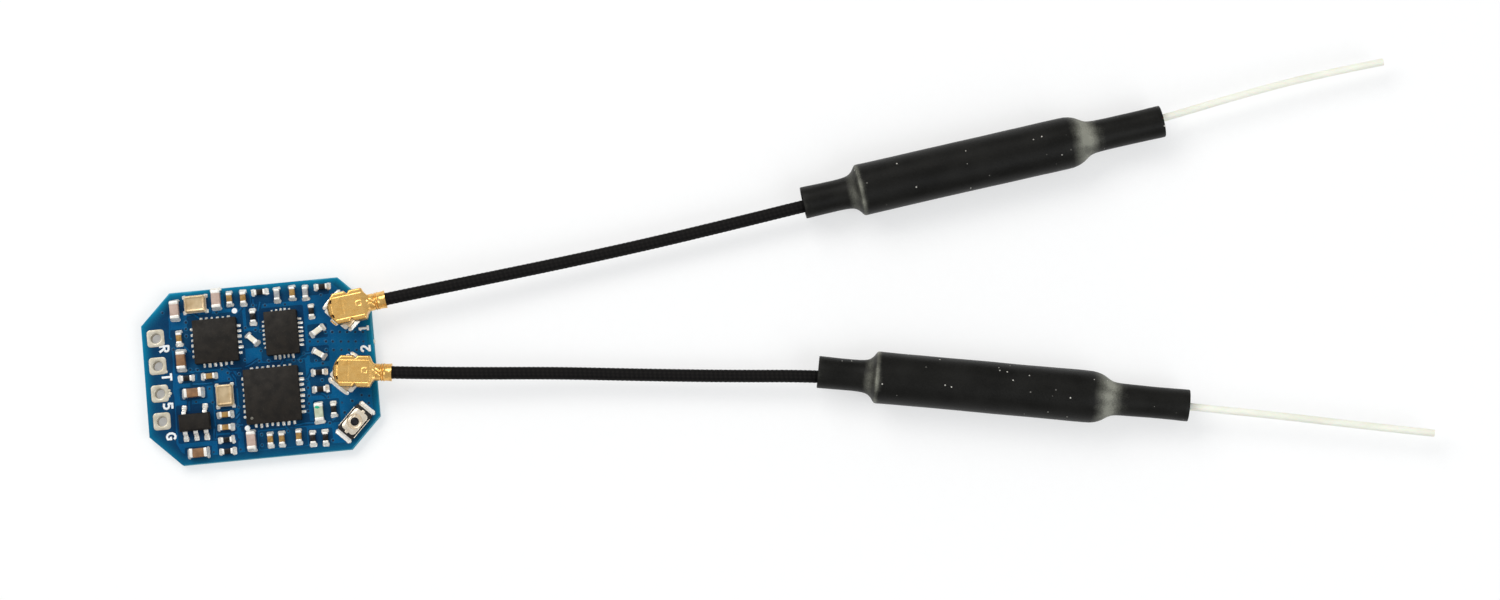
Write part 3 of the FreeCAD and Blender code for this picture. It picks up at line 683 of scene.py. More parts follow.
def makeFloor(look):  # pale paper that the camera and reflections see a little brighter, with painted shade under the board
    finish, at = startFinish("paper floor")
    fibres = at.grain(0.9, 4.0)
    paint = fibres.fit(0.3, 0.7).blend(look["floor"], tuple(v * 0.985 for v in look["floor"]))
    paper = at.node("ShaderNodeBsdfPrincipled", None, {
        "Base Color": paint, "Roughness": 0.7, "Specular IOR Level": 0.2,
        "Normal": at.node("ShaderNodeBump", None, {"Height": fibres, "Distance": 0.01 * mm})})
    white = at.node("ShaderNodeEmission", None, {"Color": (1, 1, 1, 1), "Strength": look["floorWhite"]})
    rays = [at.node("ShaderNodeLightPath", out=name)
            for name in ("Is Camera Ray", "Is Glossy Ray", "Is Transmission Ray")]
    seen = rays[0].calc("MAXIMUM", rays[1]).calc("MAXIMUM", rays[2])
    # painted shade: the floor's white share drops under the board, darkening what shows through its holes
    under = boardReach(at.axis(0), at.axis(1), boardLook)
    share = under.fit(0.2, 0.7, 1.0, look["paintedShadeUnderBoard"]) * look["floorShare"]
    both = at.node("ShaderNodeMixShader", None, {0: share, 1: paper, 2: white})
    mixed = at.node("ShaderNodeMixShader", None, {0: seen, 1: paper, 2: both})
    at.node("ShaderNodeOutputMaterial", None, {"Surface": mixed})
    mesh, side = bpy.data.meshes.new("Floor"), look["floorSide"]
    corners = [(x * side / 2, y * side / 2, 0) for x, y in ((-1, -1), (1, -1), (1, 1), (-1, 1))]
    mesh.from_pydata(corners, [], [(0, 1, 2, 3)])
    mesh.materials.append(finish)
    show("Floor", mesh)


def makeLight(look):
    world = bpy.data.worlds.new("Studio")
    bpy.context.scene.world = world
    world.use_nodes = True
    world.node_tree.nodes.clear()
    start = Port(world.node_tree)
    height = start.node("ShaderNodeTexCoord", out=0).axis(2)
    sky = height.fit(-0.2, 0.7).blend(look["ground"], look["sky"])
    soft = start.node("ShaderNodeBackground", None, {"Color": sky, "Strength": look["skyPower"]})
    white = start.node("ShaderNodeBackground", None, {"Color": (1, 1, 1, 1), "Strength": 1.0})
    camera = start.node("ShaderNodeLightPath", out="Is Camera Ray")
    mixed = start.node("ShaderNodeMixShader", None, {0: camera, 1: soft, 2: white})
    start.node("ShaderNodeOutputWorld", None, {"Surface": mixed})
    for lamp in look["lamps"]:
        made = bpy.data.lights.new(lamp["name"], "AREA")
        made.shape, made.size, made.size_y = "RECTANGLE", lamp["size"][0] * mm, lamp["size"][1] * mm
        made.energy, made.color = lamp["power"], lamp["color"]
        holder = bpy.data.objects.new(lamp["name"], made)
        place = Vector(lamp["place"])
        turned = (Vector(look["aim"]) - place).to_track_quat("-Z", "Y").to_matrix().to_4x4()
        holder.matrix_world = Matrix.Translation(place * mm) @ turned
        bpy.context.scene.collection.objects.link(holder)
    bpy.context.scene.view_settings.view_transform = "Standard"


makeFloor(light)
makeLight(light)
print("camera, floor and light ready")


# Coaxial leads and whips

leadLook = {
    "radius": 0.565, "sides": 20, "step": 0.09, "ribs": (0.85, 5, 0.02),  # pitch, count, height
    "routes": [
        [(10.683, 5.099, 2.5), (14.656, 5.559, 2.5), (20.5, 6.2, 2.35), (28.2, 7.07, 2.1),
         (36.0, 8.03, 2.0), (44.0, 9.16, 2.05), (50.6, 10.14, 2.15), (57.5, 11.1, 2.22),
         (67.7, 12.638, 2.375), (74.62, 13.543, 2.375)],
        [(10.683, -1.299, 2.5), (14.656, -1.759, 2.5), (20.2, -2.32, 2.38), (27.0, -2.92, 2.12),
         (34.4, -3.79, 1.98), (42.5, -4.7, 2.04), (50.2, -5.43, 2.14), (57.0, -6.55, 2.22),
         (67.34, -8.314, 2.375), (74.22, -9.618, 2.375)]],
    "lengths": [64.51, 64.12],
}
whipLook = {
    "radius": 0.34, "sides": 16, "step": 0.25, "ribs": (3.0, 1, 0.004),
    "routes": [
        [(74.62, 13.543, 2.375), (78.5, 14.05, 2.375), (84.5, 15.1, 2.34), (91.5, 16.51, 2.28),
         (98.5, 17.7, 2.17), (104.98, 18.38, 2.0)],
        [(74.22, -9.618, 2.375), (78.2, -10.372, 2.375), (84.6, -11.69, 2.36), (91.5, -13.06, 2.3),
         (98.6, -14.59, 2.2), (105.58, -16.02, 2.06)]],
}


def lineOf(route):  # points of the route's own smooth spline
    bare = curveObject("Line", [route], True)
    line = bpy.data.meshes.new_from_object(bare)
    points = [tuple(vertex.co) for vertex in line.vertices]
    bpy.data.objects.remove(bare)
    return points


def tube(name, route, look, finish):
    pitch, count, height = look["ribs"]
    return grown(name, curveObject(name + "Route", [route], True), tubeTree, {
        "Radius": look["radius"] * mm, "Sides": look["sides"], "Step": look["step"] * mm,
        "Rib Pitch": pitch * mm, "Rib Count": count, "Rib Height": height * mm,
        "Finish": finishes[finish]})


for n in (1, 2):
    route = leadLook["routes"][n - 1]
    lead = tube("leadJacket%d" % n, route, leadLook, "cable jacket")
    settle(lead, "lead_jacket", "coax_lead_%d" % n, body="antenna_%d" % n)
    tuple(value * mm for value in route[0])
    leadLook["lengths"][n - 1] * mm
    2 * leadLook["radius"] * mm
    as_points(lineOf(route))
    whip = tube("whipSkin%d" % n, whipLook["routes"][n - 1], whipLook, "cream insulation")
    settle(whip, "whip_insulation", "whip_insulation_%d" % n, body="antenna_%d" % n)
print("leads and whips ready")


# Finishes of the CAD pieces that keep their shape

keptFinishes = {
    "circuit_board": "mask on laminate", "crystal_pads": "tinned end",
    "radio_crystal_base": "fired ceramic", "clock_crystal_base": "fired ceramic",
    "controller_contacts": "tinned end", "transceiver_contacts": "tinned end",
    "amplifier_contacts": "tinned end",
}
for n in (1, 2):
    keptFinishes.update({
        # black moulding on the plug insulators is painted shade for the dark corner holes above them
        "antenna_jack_%d_pin" % n: "gold plating", "antenna_plug_%d_insulator" % n: "black moulding",
        "antenna_plug_%d_contact" % n: "gold plating", "brass_sleeve_%d" % n: "drawn brass",
        "sleeve_solder_%d" % n: "soldered joint", "whip_wire_%d" % n: "silvered wire"})
for name, finish in keptFinishes.items():
    nodes[name].data.materials.clear()
    nodes[name].data.materials.append(finishes[finish])


# Board: copper under the mask, tracks, vias and ink

boardCopper = {
    "height": 0.025, "trackWidth": 0.17, "corridor": 0.21,
    "outline": [(-7.95, 5.5), (-7.95, 5.6), (-7.6, 6.9), (-7.0, 7.35), (7.2, 7.35), (9.95, 4.6),
                (9.95, -4.6), (7.3, -7.25), (-7.0, -7.25), (-7.7, -6.7), (-8.1, -5.9), (-7.95, -1.6),
                (-8.05, -1.2), (-7.95, 0.6), (-7.85, 1.7)],
    "gaps": [  # x, y, length, width of bare laminate round parts
        (-6.95, 3.65, 1.9, 1.7), (-7.0, 1.6, 1.4, 2.3), (-5.9, 6.75, 4.4, 1.5), (-3.75, 3.1, 5.1, 5.1),
        (-1.6, 6.75, 2.4, 1.6), (2.1, 6.9, 4.2, 1.6), (5.5, 7.0, 2.7, 1.1), (2.3, 3.25, 4.1, 4.9),
        (-0.35, 5.0, 1.1, 1.9), (-0.45, 2.95, 1.5, 1.6), (5.5, 3.15, 1.8, 1.3), (5.5, 1.05, 1.8, 1.5),
        (1.0, -2.35, 6.3, 6.1), (5.4, -1.45, 1.9, 2.6), (5.75, -4.25, 2.4, 2.2), (5.0, -6.6, 2.2, 1.7),
        (1.6, -6.35, 4.4, 1.7), (-1.3, -6.25, 1.3, 2.2), (-3.45, -4.3, 1.9, 2.1),
        (-3.45, -6.5, 1.9, 2.0), (-6.2, -4.2, 3.4, 3.5), (-6.15, -6.95, 2.5, 1.2),
        (-6.2, -1.45, 2.5, 1.2), (-5.65, -0.05, 3.6, 0.9), (-3.35, -1.95, 2.1, 2.5)],
    "tracks": [
        [(-7.86, 5.32), (-7.98, 3.8), (-7.77, 3.64)], [(-4.09, 6.27), (-4.17, 5.77)],
        [(-5.79, 5.89), (-5.15, 5.32)], [(-1.21, 6.14), (-1.3, 5.86), (-1.84, 5.4)],
        [(-0.13, 6.62), (-0.15, 6.18)], [(-6.94, 3.12), (-6.17, 2.32)],
        [(0.51, 6.34), (0.26, 5.49)], [(-3.0, 0.86), (-2.67, 0.46), (-1.66, 0.4)],
        [(-1.3, 0.47), (-0.78, 0.64), (-0.24, 0.96)], [(-2.57, -0.06), (-2.28, -0.52), (-2.29, -1.17)],
        [(-5.79, 0.25), (-5.83, -0.25)], [(-6.22, -0.65), (-4.93, -0.7), (-4.42, -0.68)],
        [(-2.53, -4.13), (-2.13, -3.73)], [(-2.72, -4.76), (-1.93, -4.77)],
        [(-4.61, -4.87), (-4.68, -5.8), (-4.32, -5.84)], [(-2.99, -5.39), (-2.87, -5.76), (-2.61, -6.08)],
        [(-6.63, -2.13), (-6.7, -3.07)], [(2.73, -5.24), (3.59, -5.15), (4.88, -5.23)],
        [(1.93, 0.38), (2.17, 0.71)], [(5.36, -2.55), (5.61, -2.66), (5.93, -3.0)],
        [(6.18, -5.14), (6.63, -4.84)], [(1.87, -5.24), (2.18, -5.62)],
        [(4.6, -0.65), (4.19, -1.25)], [(3.4, 0.66), (4.1, 1.19), (4.8, 1.2)]],
    "vias": [
        (6.23, 2.98), (6.84, 2.92), (7.53, 2.86), (8.18, 2.79), (8.92, 2.72), (9.62, 2.65),
        (4.72, 2.25), (5.46, 2.18), (6.2, 2.11), (6.81, 2.05), (7.55, 1.98), (8.24, 1.91),
        (8.89, 1.85), (9.59, 1.78), (6.17, 1.33), (6.83, 1.26), (7.53, 1.2), (8.22, 1.13),
        (8.92, 1.06), (-8.45, 6.16), (-3.54, 5.72), (-0.17, 6.06), (0.92, 5.94), (2.74, 5.87),
        (6.08, 6.41), (-6.38, 5.07), (-6.43, 4.46), (-6.44, 3.81), (-1.03, 4.06), (-0.13, 3.78),
        (0.33, 3.63), (-0.25, 2.27), (0.23, 1.82), (-1.3, 1.11), (0.0, 0.93), (0.86, 0.84),
        (3.12, 0.66), (3.75, 0.57), (5.15, 0.46), (-2.95, 0.1), (-2.88, -0.47), (-3.45, 0.47),
        (-6.32, 0.71), (-5.67, 0.63), (-7.7, 2.71), (-1.92, -0.12), (4.08, 1.19), (5.74, 0.13),
        (4.19, -1.25), (5.56, -1.39), (4.22, -1.96), (4.25, -2.7), (4.19, -3.4), (4.08, -4.09),
        (5.97, -2.99), (7.18, -3.6), (8.14, -3.55), (9.02, -3.09), (9.71, -3.23), (9.6, -3.89),
        (7.36, -4.53), (5.93, -5.36), (6.08, -6.97), (-2.21, -3.13), (-2.43, -4.78), (-6.02, -2.27),
        (-4.72, -1.18), (-4.52, -2.45), (-2.34, -6.98), (-0.33, -5.82), (-0.36, -6.78),
        (2.11, -5.74), (-4.79, -7.0)],
    "viaRadius": 0.185, "viaHole": 0.105,
    "nibs": [(10.42, 1.74, 0.0, 0.34), (9.6, -5.66, -45.0, 0.2)],  # milling stubs: x, y, turn, width
    "nibDepth": 0.34,
}


def corridor(track, half):  # the cleared strip on both sides of a track
    left, right, last = [], [], len(track) - 1
    for i, spot in enumerate(track):
        way = (Vector(track[min(i + 1, last)]) - Vector(track[max(i - 1, 0)])).normalized()
        tip = Vector(spot) + way * half * ((i == last) - (i == 0))
        across = Vector((-way.y, way.x)) * half
        left.append(tuple(tip + across))
        right.append(tuple(tip - across))
    return left + right[::-1]


def dressBoard(look):
    gaps = [[(x + gx, y + gy) for gx, gy in roundRect(length, width, 0.16, 3)]
            for x, y, length, width in look["gaps"]]
    gaps += [corridor(track, look["corridor"]) for track in look["tracks"][1:]]
    pour = pressed(look["outline"], boardTop, boardTop + look["height"], gaps)
    makePiece("copperPour", pour, "mask on copper", "solder_mask", crease=30)
    routes = [[(x, y, boardTop + look["height"] / 2) for x, y in track] for track in look["tracks"]]
    tracks = grown("copperTracks", curveObject("trackRoutes", routes, False), trackTree, {
        "Width": look["trackWidth"] * mm, "Height": look["height"] * mm * 1.3,
        "Finish": finishes["mask on copper"]})
    settle(tracks, "solder_mask")
    outer, hole = look["viaRadius"], look["viaHole"]
    ring = Solid().spin([(hole, 0.02), (hole + 0.02, 0.034), (outer - 0.05, 0.034), (outer, 0.022),
                         (outer + 0.005, 0.0), (hole, 0.0), (hole, 0.02)], 18)
    # the well's dark finish is painted shade, so each via reads as a dark hole
    well = Solid().spin([(hole * 1.06, 0.002), (hole * 1.06, 0.031), (hole * 0.6, 0.028),
                         (0.0, 0.027)], 14, True)
    spots = [(x, y, boardTop, 0.0) for x, y in look["vias"]]
    for name, solid, finish in (("viaRings", ring, "via rim"), ("viaWells", well, "shaded via well")):
        settle(copies(name, solid, finish, spots, 0.1, 180, 4), "solder_mask")
    nibs, depth = Solid(), look["nibDepth"]
    for x, y, turn, width in look["nibs"]:
        nibs.add(block(depth, width, 0.06, 0.12, boardTop - 0.1, 0.05, 0.03), x, y, 0, turn)
    makePiece("edgeNibs", nibs, "white ceramic", "solder_mask")


dressBoard(boardCopper)

inkLook = {
    "lift": 0.03, "height": 0.01, "stroke": 0.21, "tall": 0.78,
    "strokes": {  # middle lines in a box one high
        "R": [[(0, -0.1), (0, 1.0)],
              [(-0.1, 1), (0.38, 1), (0.56, 0.92), (0.62, 0.75), (0.56, 0.58), (0.38, 0.5), (0, 0.5)],
              [(0.28, 0.5), (0.66, -0.08)]],
        "T": [[(-0.1, 1), (0.76, 1)], [(0.33, 1), (0.33, -0.1)]],
        "5": [[(0.64, 1), (0.0, 1)], [(0.08, 1.1), (0.03, 0.5)],
              [(0.0, 0.55), (0.3, 0.62), (0.52, 0.54), (0.62, 0.31), (0.52, 0.08), (0.28, 0.0),
               (-0.04, 0.07)]],
        "G": [[(0.7, 0.8), (0.55, 0.96), (0.35, 1.0), (0.13, 0.9), (0.0, 0.63), (0.0, 0.37),
               (0.13, 0.1), (0.35, 0.0), (0.56, 0.03), (0.7, 0.12)],
              [(0.66, 0.05), (0.66, 0.52)], [(0.38, 0.45), (0.76, 0.45)]],
        "1": [[(0.12, 0.8), (0.38, 1.0)], [(0.34, 1.08), (0.34, 0)], [(0.06, 0), (0.62, 0)]],
        "2": [[(0.0, 0.72), (0.1, 0.93), (0.32, 1.0), (0.54, 0.93), (0.61, 0.72), (0.5, 0.5),
               (0.06, 0.06)], [(-0.06, 0.02), (0.68, 0.02)]],
    },
    "letters": [  # letter, middle x and y, turn
        ("R", -8.53, 2.82, -90), ("T", -8.5, 0.23, -90), ("5", -8.59, -2.43, -90),
        ("G", -8.51, -5.18, -90), ("1", 9.7, 2.98, 90), ("2", 9.73, 1.13, 90)],
    "dots": [(-1.89, 5.72, 0.25), (-1.56, -5.12, 0.25)],  # x, y, radius
    "overlap": 0.0015,  # each stroke of a letter lies this much higher than the one before
}


def inkBoard(look):
    routes, tall, low = [], look["tall"], boardTop + look["lift"]
    for letter, x, y, turn in look["letters"]:
        for i, line in enumerate(look["strokes"][letter]):
            up = low + look["height"] / 2 + look["overlap"] * i
            routes.append([(*outwards(x, y, turn, (px - 0.33) * tall, (py - 0.5) * tall), up)
                           for px, py in line])
    letters = grown("ink", curveObject("inkRoutes", routes, False), trackTree, {
        "Width": look["stroke"] * mm, "Height": look["height"] * mm, "Finish": finishes["white ink"]})
    dots = Solid()
    for x, y, radius in look["dots"]:
        profile = [(radius, 0.0), (radius, 0.008), (radius * 0.8, 0.014), (0.0, 0.015)]
        dots.add(Solid().spin(profile, 20, True), x, y, low)
    pieces = [letters, show("inkDots", toMesh("inkDots", dots, "white ink"))]
    settle(merged("boardInk", pieces), "solder_mask")


inkBoard(inkLook)

padLook = {
    "spots": [(-9.25, 3.88), (-9.25, 1.34), (-9.25, -1.2), (-9.25, -3.74)],
    "side": 1.58, "corner": 0.3, "holeRadius": 0.45, "foil": 0.04, "swell": 0.012,
    "spurs": [(-8.52, 0.74, 0.15), (-8.38, -1.0, 0.13), (-8.33, -1.28, 0.17), (-8.42, -1.52, 0.12)],
}


def makePads(look):
    top, hole, side = boardTop + look["foil"], look["holeRadius"], look["side"]
    crown = top + look["swell"]
    pad = ringsRound([
        ("block", 0.0, boardTop), ("block", 0.0, top - 0.014), ("block", 0.008, top - 0.003),
        ("block", 0.03, top + 0.002), ("block", 0.13, crown), ("round", hole + 0.15, crown),
        ("round", hole + 0.06, top + 0.004), ("round", hole + 0.015, top - 0.014),
        ("round", hole - 0.006, top - 0.05), ("round", hole - 0.012, 0.9),
        ("round", hole - 0.012, 0.06), ("round", hole, 0.008), ("round", hole + 0.02, 0.002),
        ("block", 0.02, 0.002), ("block", 0.0, 0.01), ("block", 0.0, 0.04),
        ("round", hole + 0.02, 0.045), ("round", hole + 0.02, 0.995)], side, side, look["corner"], 48)
    spots, spurs = [(x, y, 0.0, 0.0) for x, y in look["spots"]], Solid()
    for x, y, radius in look["spurs"]:
        profile = [(radius, 0.0), (radius * 0.9, 0.03), (radius * 0.5, 0.045), (0.0, 0.05)]
        spurs.add(Solid().spin(profile, 12, True), x, y, boardTop)
    pieces = [copies("padFoils", pad, "pad plating", spots, crease=50),
              show("spurs", toMesh("spurs", spurs, "pad plating"))]
    settle(merged("wirePads", pieces), "pad_plating", "plated_pads")


makePads(padLook)
print("board dressed")


# Chips and the solder round them

chipLook = {
    "parts": {
        "controller_chip": {"at": (1.0, -2.35), "size": (5.0, 5.0), "counts": (8, 8), "pitch": 0.5,
                            "dimple": (-1.98, -1.98, 0.13)},  # x, y, radius
        "transceiver_chip": {"at": (-3.75, 3.1), "size": (4.0, 4.0), "counts": (6, 6), "pitch": 0.5},
        "amplifier_chip": {"at": (2.3, 3.25), "size": (3.0, 4.0), "counts": (5, 7), "pitch": 0.4},
    },
    "height": 0.85, "corner": 0.09, "soft": 0.045, "foot": 0.02,
    "sideGrowth": {90: 0.95, 270: 1.15, 0: 1.3, 180: 0.95},  # of the solder, by the way it faces
    "beadPitch": 0.5, "jitter": [(0.8, 1.15), (0.8, 1.12), (0.75, 1.2)],
}
beadSize, beadJitter = (0.3, 0.27, 0.26), (0.06, 6.0)  # reach, width, height; of size and turn


def solderBead(reach, width, height):  # a fillet that climbs the part and thins towards its toe
    rings, last = [], 6
    for i in range(last + 1):
        share = i / last
        crest = height * (1 - share) ** 1.7 + 0.03 * math.sin(math.pi * share) + 0.012
        half = width / 2 * (1.04 + 0.1 * math.sin(math.pi * share)) * (1 - 0.18 * share ** 3)
        arch = [(-1, 0), (-0.94, 0.5), (-0.62, 0.88), (0, 1), (0.62, 0.88), (0.94, 0.5), (1, 0)]
        rings.append([(reach * (share - 0.06), half * y, crest * z) for y, z in arch])
    return Solid().loft(rings)


def sideSpots(part):  # (turn, reach, along) of each contact, as round the real chip
    (sx, sy), (nx, ny) = part["size"], part["counts"]
    return [(turn, reach, part["pitch"] * (i - (count - 1) / 2))
            for turn, count, reach in ((90, nx, sy / 2), (270, nx, sy / 2), (0, ny, sx / 2),
                                       (180, ny, sx / 2))
            for i in range(count)]


def makeChips(look):
    beads, rng, top = [], random.Random(7), boardTop + look["height"]
    for name, part in look["parts"].items():
        x, y = part["at"]
        body = block(*part["size"], look["corner"], boardTop + look["foot"], top, look["soft"],
                     look["foot"], 2)
        pieces = [show("chipBlock", toMesh("chipBlock", body.moved(x, y), "moulded epoxy"))]
        if "dimple" in part:
            dx, dy, radius = part["dimple"]
            dish = Solid().spin([(radius, -0.01), (radius, 0.004), (radius * 0.8, 0.004),
                                 (radius * 0.55, 0.001), (0.0, 0.0015)], 20).moved(x + dx, y + dy, top)
            pieces.append(show("chipDish", toMesh("chipDish", dish, "moulded dimple")))
        settle(merged(name.replace("_chip", "Body"), pieces), "chip_epoxy", name)
        for turn, reach, along in sideSpots(part):
            long, wide, high = (rng.uniform(*span) for span in look["jitter"])
            beads.append((*outwards(x, y, turn, reach, along), boardTop, turn,
                          look["sideGrowth"][turn] * long, part["pitch"] / look["beadPitch"] * wide,
                          high))
    return beads


chipBeads = makeChips(chipLook)

regulatorLook = {
    "at": (-6.2, -4.15), "size": (2.9, 1.6), "lift": 0.08, "waist": 0.62, "crown": 1.1, "draft": 0.09,
    "corner": 0.06, "pitch": 0.95, "legWidth": 0.4, "legSheet": 0.15, "knee": 0.22, "toe": 0.62,
    "lean": 0.1, "bead": (1.35, 1.75, 0.95), "beadInset": 0.14,
}


def makeRegulator(look):  # heights are above the board
    x, y = look["at"]
    draft, lift, waist, crown = (look[key] for key in ("draft", "lift", "waist", "crown"))
    levels = [(draft + 0.03, lift), (draft, lift + 0.03), (0.0, waist), (0.012, waist + 0.01),
              (draft * 0.9, crown - 0.05), (draft + 0.015, crown - 0.012), (draft + 0.05, crown)]
    body = Solid().loft(blockRings(*look["size"], look["corner"], levels, 3))
    makePiece("regulatorBody", body.moved(x, y, boardTop), "moulded epoxy", "chip_epoxy",
              "regulator_body")
    half, sheet = look["size"][1] / 2, look["legSheet"]
    knee, toe, lean = half + look["knee"], half + look["toe"], look["lean"]
    path = [(half - 0.1, waist - sheet / 2), (knee - 0.12, waist - sheet / 2),
            (knee - 0.03, waist - sheet * 0.62), (knee + 0.02, waist - sheet * 1.1),
            (knee + lean * 0.55, sheet * 1.7), (knee + lean * 0.9, sheet * 0.9),
            (knee + lean + 0.08, sheet * 0.55), (toe, sheet / 2)]
    leg = bentStrip(path, look["legWidth"], sheet, 0.035)
    rows = [(turn, i * look["pitch"]) for turn, i in ((270, -1), (270, 0), (270, 1), (90, -1), (90, 1))]
    spots = [(*outwards(x, y, turn, 0.0, along), boardTop, turn) for turn, along in rows]
    settle(copies("regulatorLegs", leg, "tinned end", spots), "tinned_metal", "regulator_leads")
    return [(*outwards(x, y, turn, toe - look["beadInset"], along), boardTop, turn, *look["bead"])
            for turn, along in rows]


regulatorBeads = makeRegulator(regulatorLook)

crystalLook = {
    "parts": {"radio_crystal": (-5.4, 6.65, 0.0), "clock_crystal": (-3.35, -1.95, 90.0)},
    "size": (2.0, 1.6), "rim": 0.08, "low": 0.25, "lid": 0.3, "corner": 0.2,
    "bead": (1.0, 1.3, 0.9), "beadInset": (0.12, 0.1),
}


def makeCrystals(look):
    length, width = (side - 2 * look["rim"] for side in look["size"])
    low = boardTop + look["low"]
    top = low + look["lid"]
    levels = [(-0.045, low), (-0.045, low + 0.03), (-0.03, low + 0.042), (0.004, low + 0.05),
              (0.004, top - 0.06), (0.015, top - 0.02), (0.045, top - 0.002), (0.09, top),
              (0.15, top - 0.004), (0.19, top - 0.02), (0.24, top - 0.024), (0.5, top - 0.02)]
    lid = Solid().loft(blockRings(length, width, look["corner"], levels))
    out, along = (side / 2 - inset for side, inset in zip(look["size"], look["beadInset"]))
    beads = []
    for name, (x, y, turn) in look["parts"].items():
        makePiece(name.replace("_crystal", "Crystal") + "Lid", lid.moved(x, y, 0, turn), "satin lid",
                  "crystal_lid", name + "_lid", crease=30)
        for sx, sy in ((1, 1), (-1, 1), (-1, -1), (1, -1)):
            beads.append((*outwards(x, y, turn, sx * out, sy * along), boardTop,
                          turn + (0 if sx > 0 else 180), *look["bead"]))
    return beads


crystalBeads = makeCrystals(crystalLook)
print("chips, regulator and crystals ready")


# Two-ended chip parts

partLook = {
    "large": {"size": (1.6, 0.8, 0.8), "cap": 0.3, "bead": (0.26, 0.92, 0.6)},
    "small": {"size": (1.0, 0.5, 0.5), "cap": 0.22, "bead": (0.29, 0.62, 0.42)},
    "flat": {"size": (1.0, 0.5, 0.35), "cap": 0.22, "bead": (0.3, 0.62, 0.3)},
    "lamp": {"size": (1.6, 0.8, 0.55), "cap": 0.32, "bead": (0.24, 0.86, 0.34)},
    "capCorner": (0.07, 0.3), "capLift": 0.004, "capSoft": (0.05, 0.03), "capJitter": (0.012, 1.0),
    "capShare": 1.6, "coreShy": 0.03, "coreLift": 0.015, "coreDrop": 0.02, "coreSoft": 0.03,
    "coreJitter": 1.2, "beadInset": 0.02, "beadJitter": [(0.85, 1.25), (0.92, 1.1), (0.8, 1.1)],
    "groups": [
        ("large", "pink ceramic", "large_capacitors",
         [(-7.3, 6.25, 90.0), (-3.45, 6.9, 90.0), (-1.25, -6.3, 90.0)]),
        ("large", "brown ceramic", "large_capacitors",
         [(-7.05, 1.6, 90.0), (-6.2, -1.45, 0.0), (-6.1, -6.95, 0.0)]),
        ("small", "tan ceramic", "small_capacitors",
         [(-2.25, 6.85, 90.0), (-1.0, 6.8, 90.0), (3.5, 6.85, 90.0), (-7.1, 3.65, 90.0),
          (0.45, -6.35, 90.0), (1.5, -6.4, 90.0), (3.05, -6.3, 90.0), (-4.6, -0.05, 0.0),
          (-3.45, -3.7, 0.0), (-3.5, -4.85, 0.0)]),
        ("flat", "black glaze", "resistors",
         [(0.55, 7.2, 0.0), (6.25, 7.15, 0.0), (-6.7, -0.05, 0.0), (-3.5, -6.0, 0.0),
          (-3.5, -7.05, 0.0), (5.35, -0.65, 0.0), (5.35, -2.2, 0.0), (-0.25, 5.0, 90.0),
          (5.1, 5.0, 90.0), (6.4, -4.15, 90.0), (4.3, -6.6, 90.0), (5.45, -6.65, 90.0)]),
        ("small", "grey ceramic", "inductors", [(2.1, 6.8, 90.0), (4.7, 6.75, 90.0)]),
        ("small", "white ceramic", "radio_filters",
         [(-0.45, 2.95, -45.0), (5.5, 3.15, 32.0), (5.5, 1.05, -35.0)]),
        ("lamp", "lamp resin", "status_lamp", [(5.05, -4.3, 90.0)]),
    ],
    "nodes": {  # the piece that stands for each node, and its slot
        "large_capacitors": ("largeCapacitors", "capacitor_ceramic"),
        "small_capacitors": ("smallCapacitors", "capacitor_ceramic"),
        "resistors": ("chipResistors", "resistor_ceramic"),
        "inductors": ("chipInductors", "inductor_ceramic"),
        "radio_filters": ("radioFilters", "filter_ceramic"),
        "status_lamp": ("statusLamp", "lamp_body"),
    },
}


def capEnd(part, look):  # a metal end that wraps the block, softened all round
    (length, width, height), cap = part["size"], part["cap"]
    most, share = look["capCorner"]
    end = block(cap, width, min(most, cap * share), boardTop + look["capLift"], boardTop + height,
                *look["capSoft"])
    return end.moved((length - cap) / 2, 0)


def makeTwoEnded(look):
    bodies, ends, beads, rng = {}, {}, [], random.Random(21)
    for kind, finish, node, spots in look["groups"]:
        length, width, height = look[kind]["size"]
        core = block(length - look["capShare"] * look[kind]["cap"], width - look["coreShy"],
                     look["coreSoft"], boardTop + look["coreLift"],
                     boardTop + height - look["coreDrop"], look["coreSoft"], 0.0, 2)
        places = [(x, y, 0.0, turn) for x, y, turn in spots]
        made = copies(node + finish[:3], core, finish, places, 0.0, look["coreJitter"], 3)
        bodies.setdefault(node, []).append(made)
        both = [(x, y, 0.0, turn + side) for x, y, turn in spots for side in (0, 180)]
        ends.setdefault(kind, []).extend(both)
        shares = [size / whole for size, whole in zip(look[kind]["bead"], beadSize)]
        for x, y, _, turn in both:
            jitter = [rng.uniform(*span) for span in look["beadJitter"]]
            beads.append((*outwards(x, y, turn, length / 2 - look["beadInset"]), boardTop, turn,
                          *(share * change for share, change in zip(shares, jitter))))
    for node, pieces in bodies.items():
        name, slot = look["nodes"][node]
        settle(merged(name, pieces), slot, node)
    caps = [copies("caps" + kind, capEnd(look[kind], look), "tinned end", places, *look["capJitter"], 5,
                   crease=50) for kind, places in ends.items()]
    settle(merged("endCaps", caps), "tinned_metal", "end_caps")
    return beads


partBeads = makeTwoEnded(partLook)

lampMark = {
    "at": (4.95, -3.86), "size": (0.44, 0.26), "turn": -8.0, "top": 0.561, "sheet": 0.026,
    "outline": [(-0.5, -0.3), (0.1, -0.5), (0.55, -0.1), (0.35, 0.35), (-0.15, 0.5), (-0.5, 0.2)],
}


def markLamp(look):
    (length, width), top = look["size"], boardTop + look["top"]
    outline = [(x * length, y * width) for x, y in look["outline"]]
    mark = slab(outline, top - look["sheet"], top, 0.008)
    makePiece("lampMark", mark.moved(*look["at"], 0, look["turn"]), "green ink", "lamp_body")


markLamp(lampMark)

beadSolid = solderBead(*beadSize)
beads = copies("solderBeads", beadSolid, "soldered joint",
               chipBeads + regulatorBeads + crystalBeads + partBeads, *beadJitter, 9, crease=60)
settle(beads, "tinned_metal", "solder_fillets")
print("chip parts and solder ready")


def solderEnds(name, spots):
    settle(copies(name, beadSolid, "soldered joint", spots, seed=2, crease=60), "tinned_metal")


# Push button

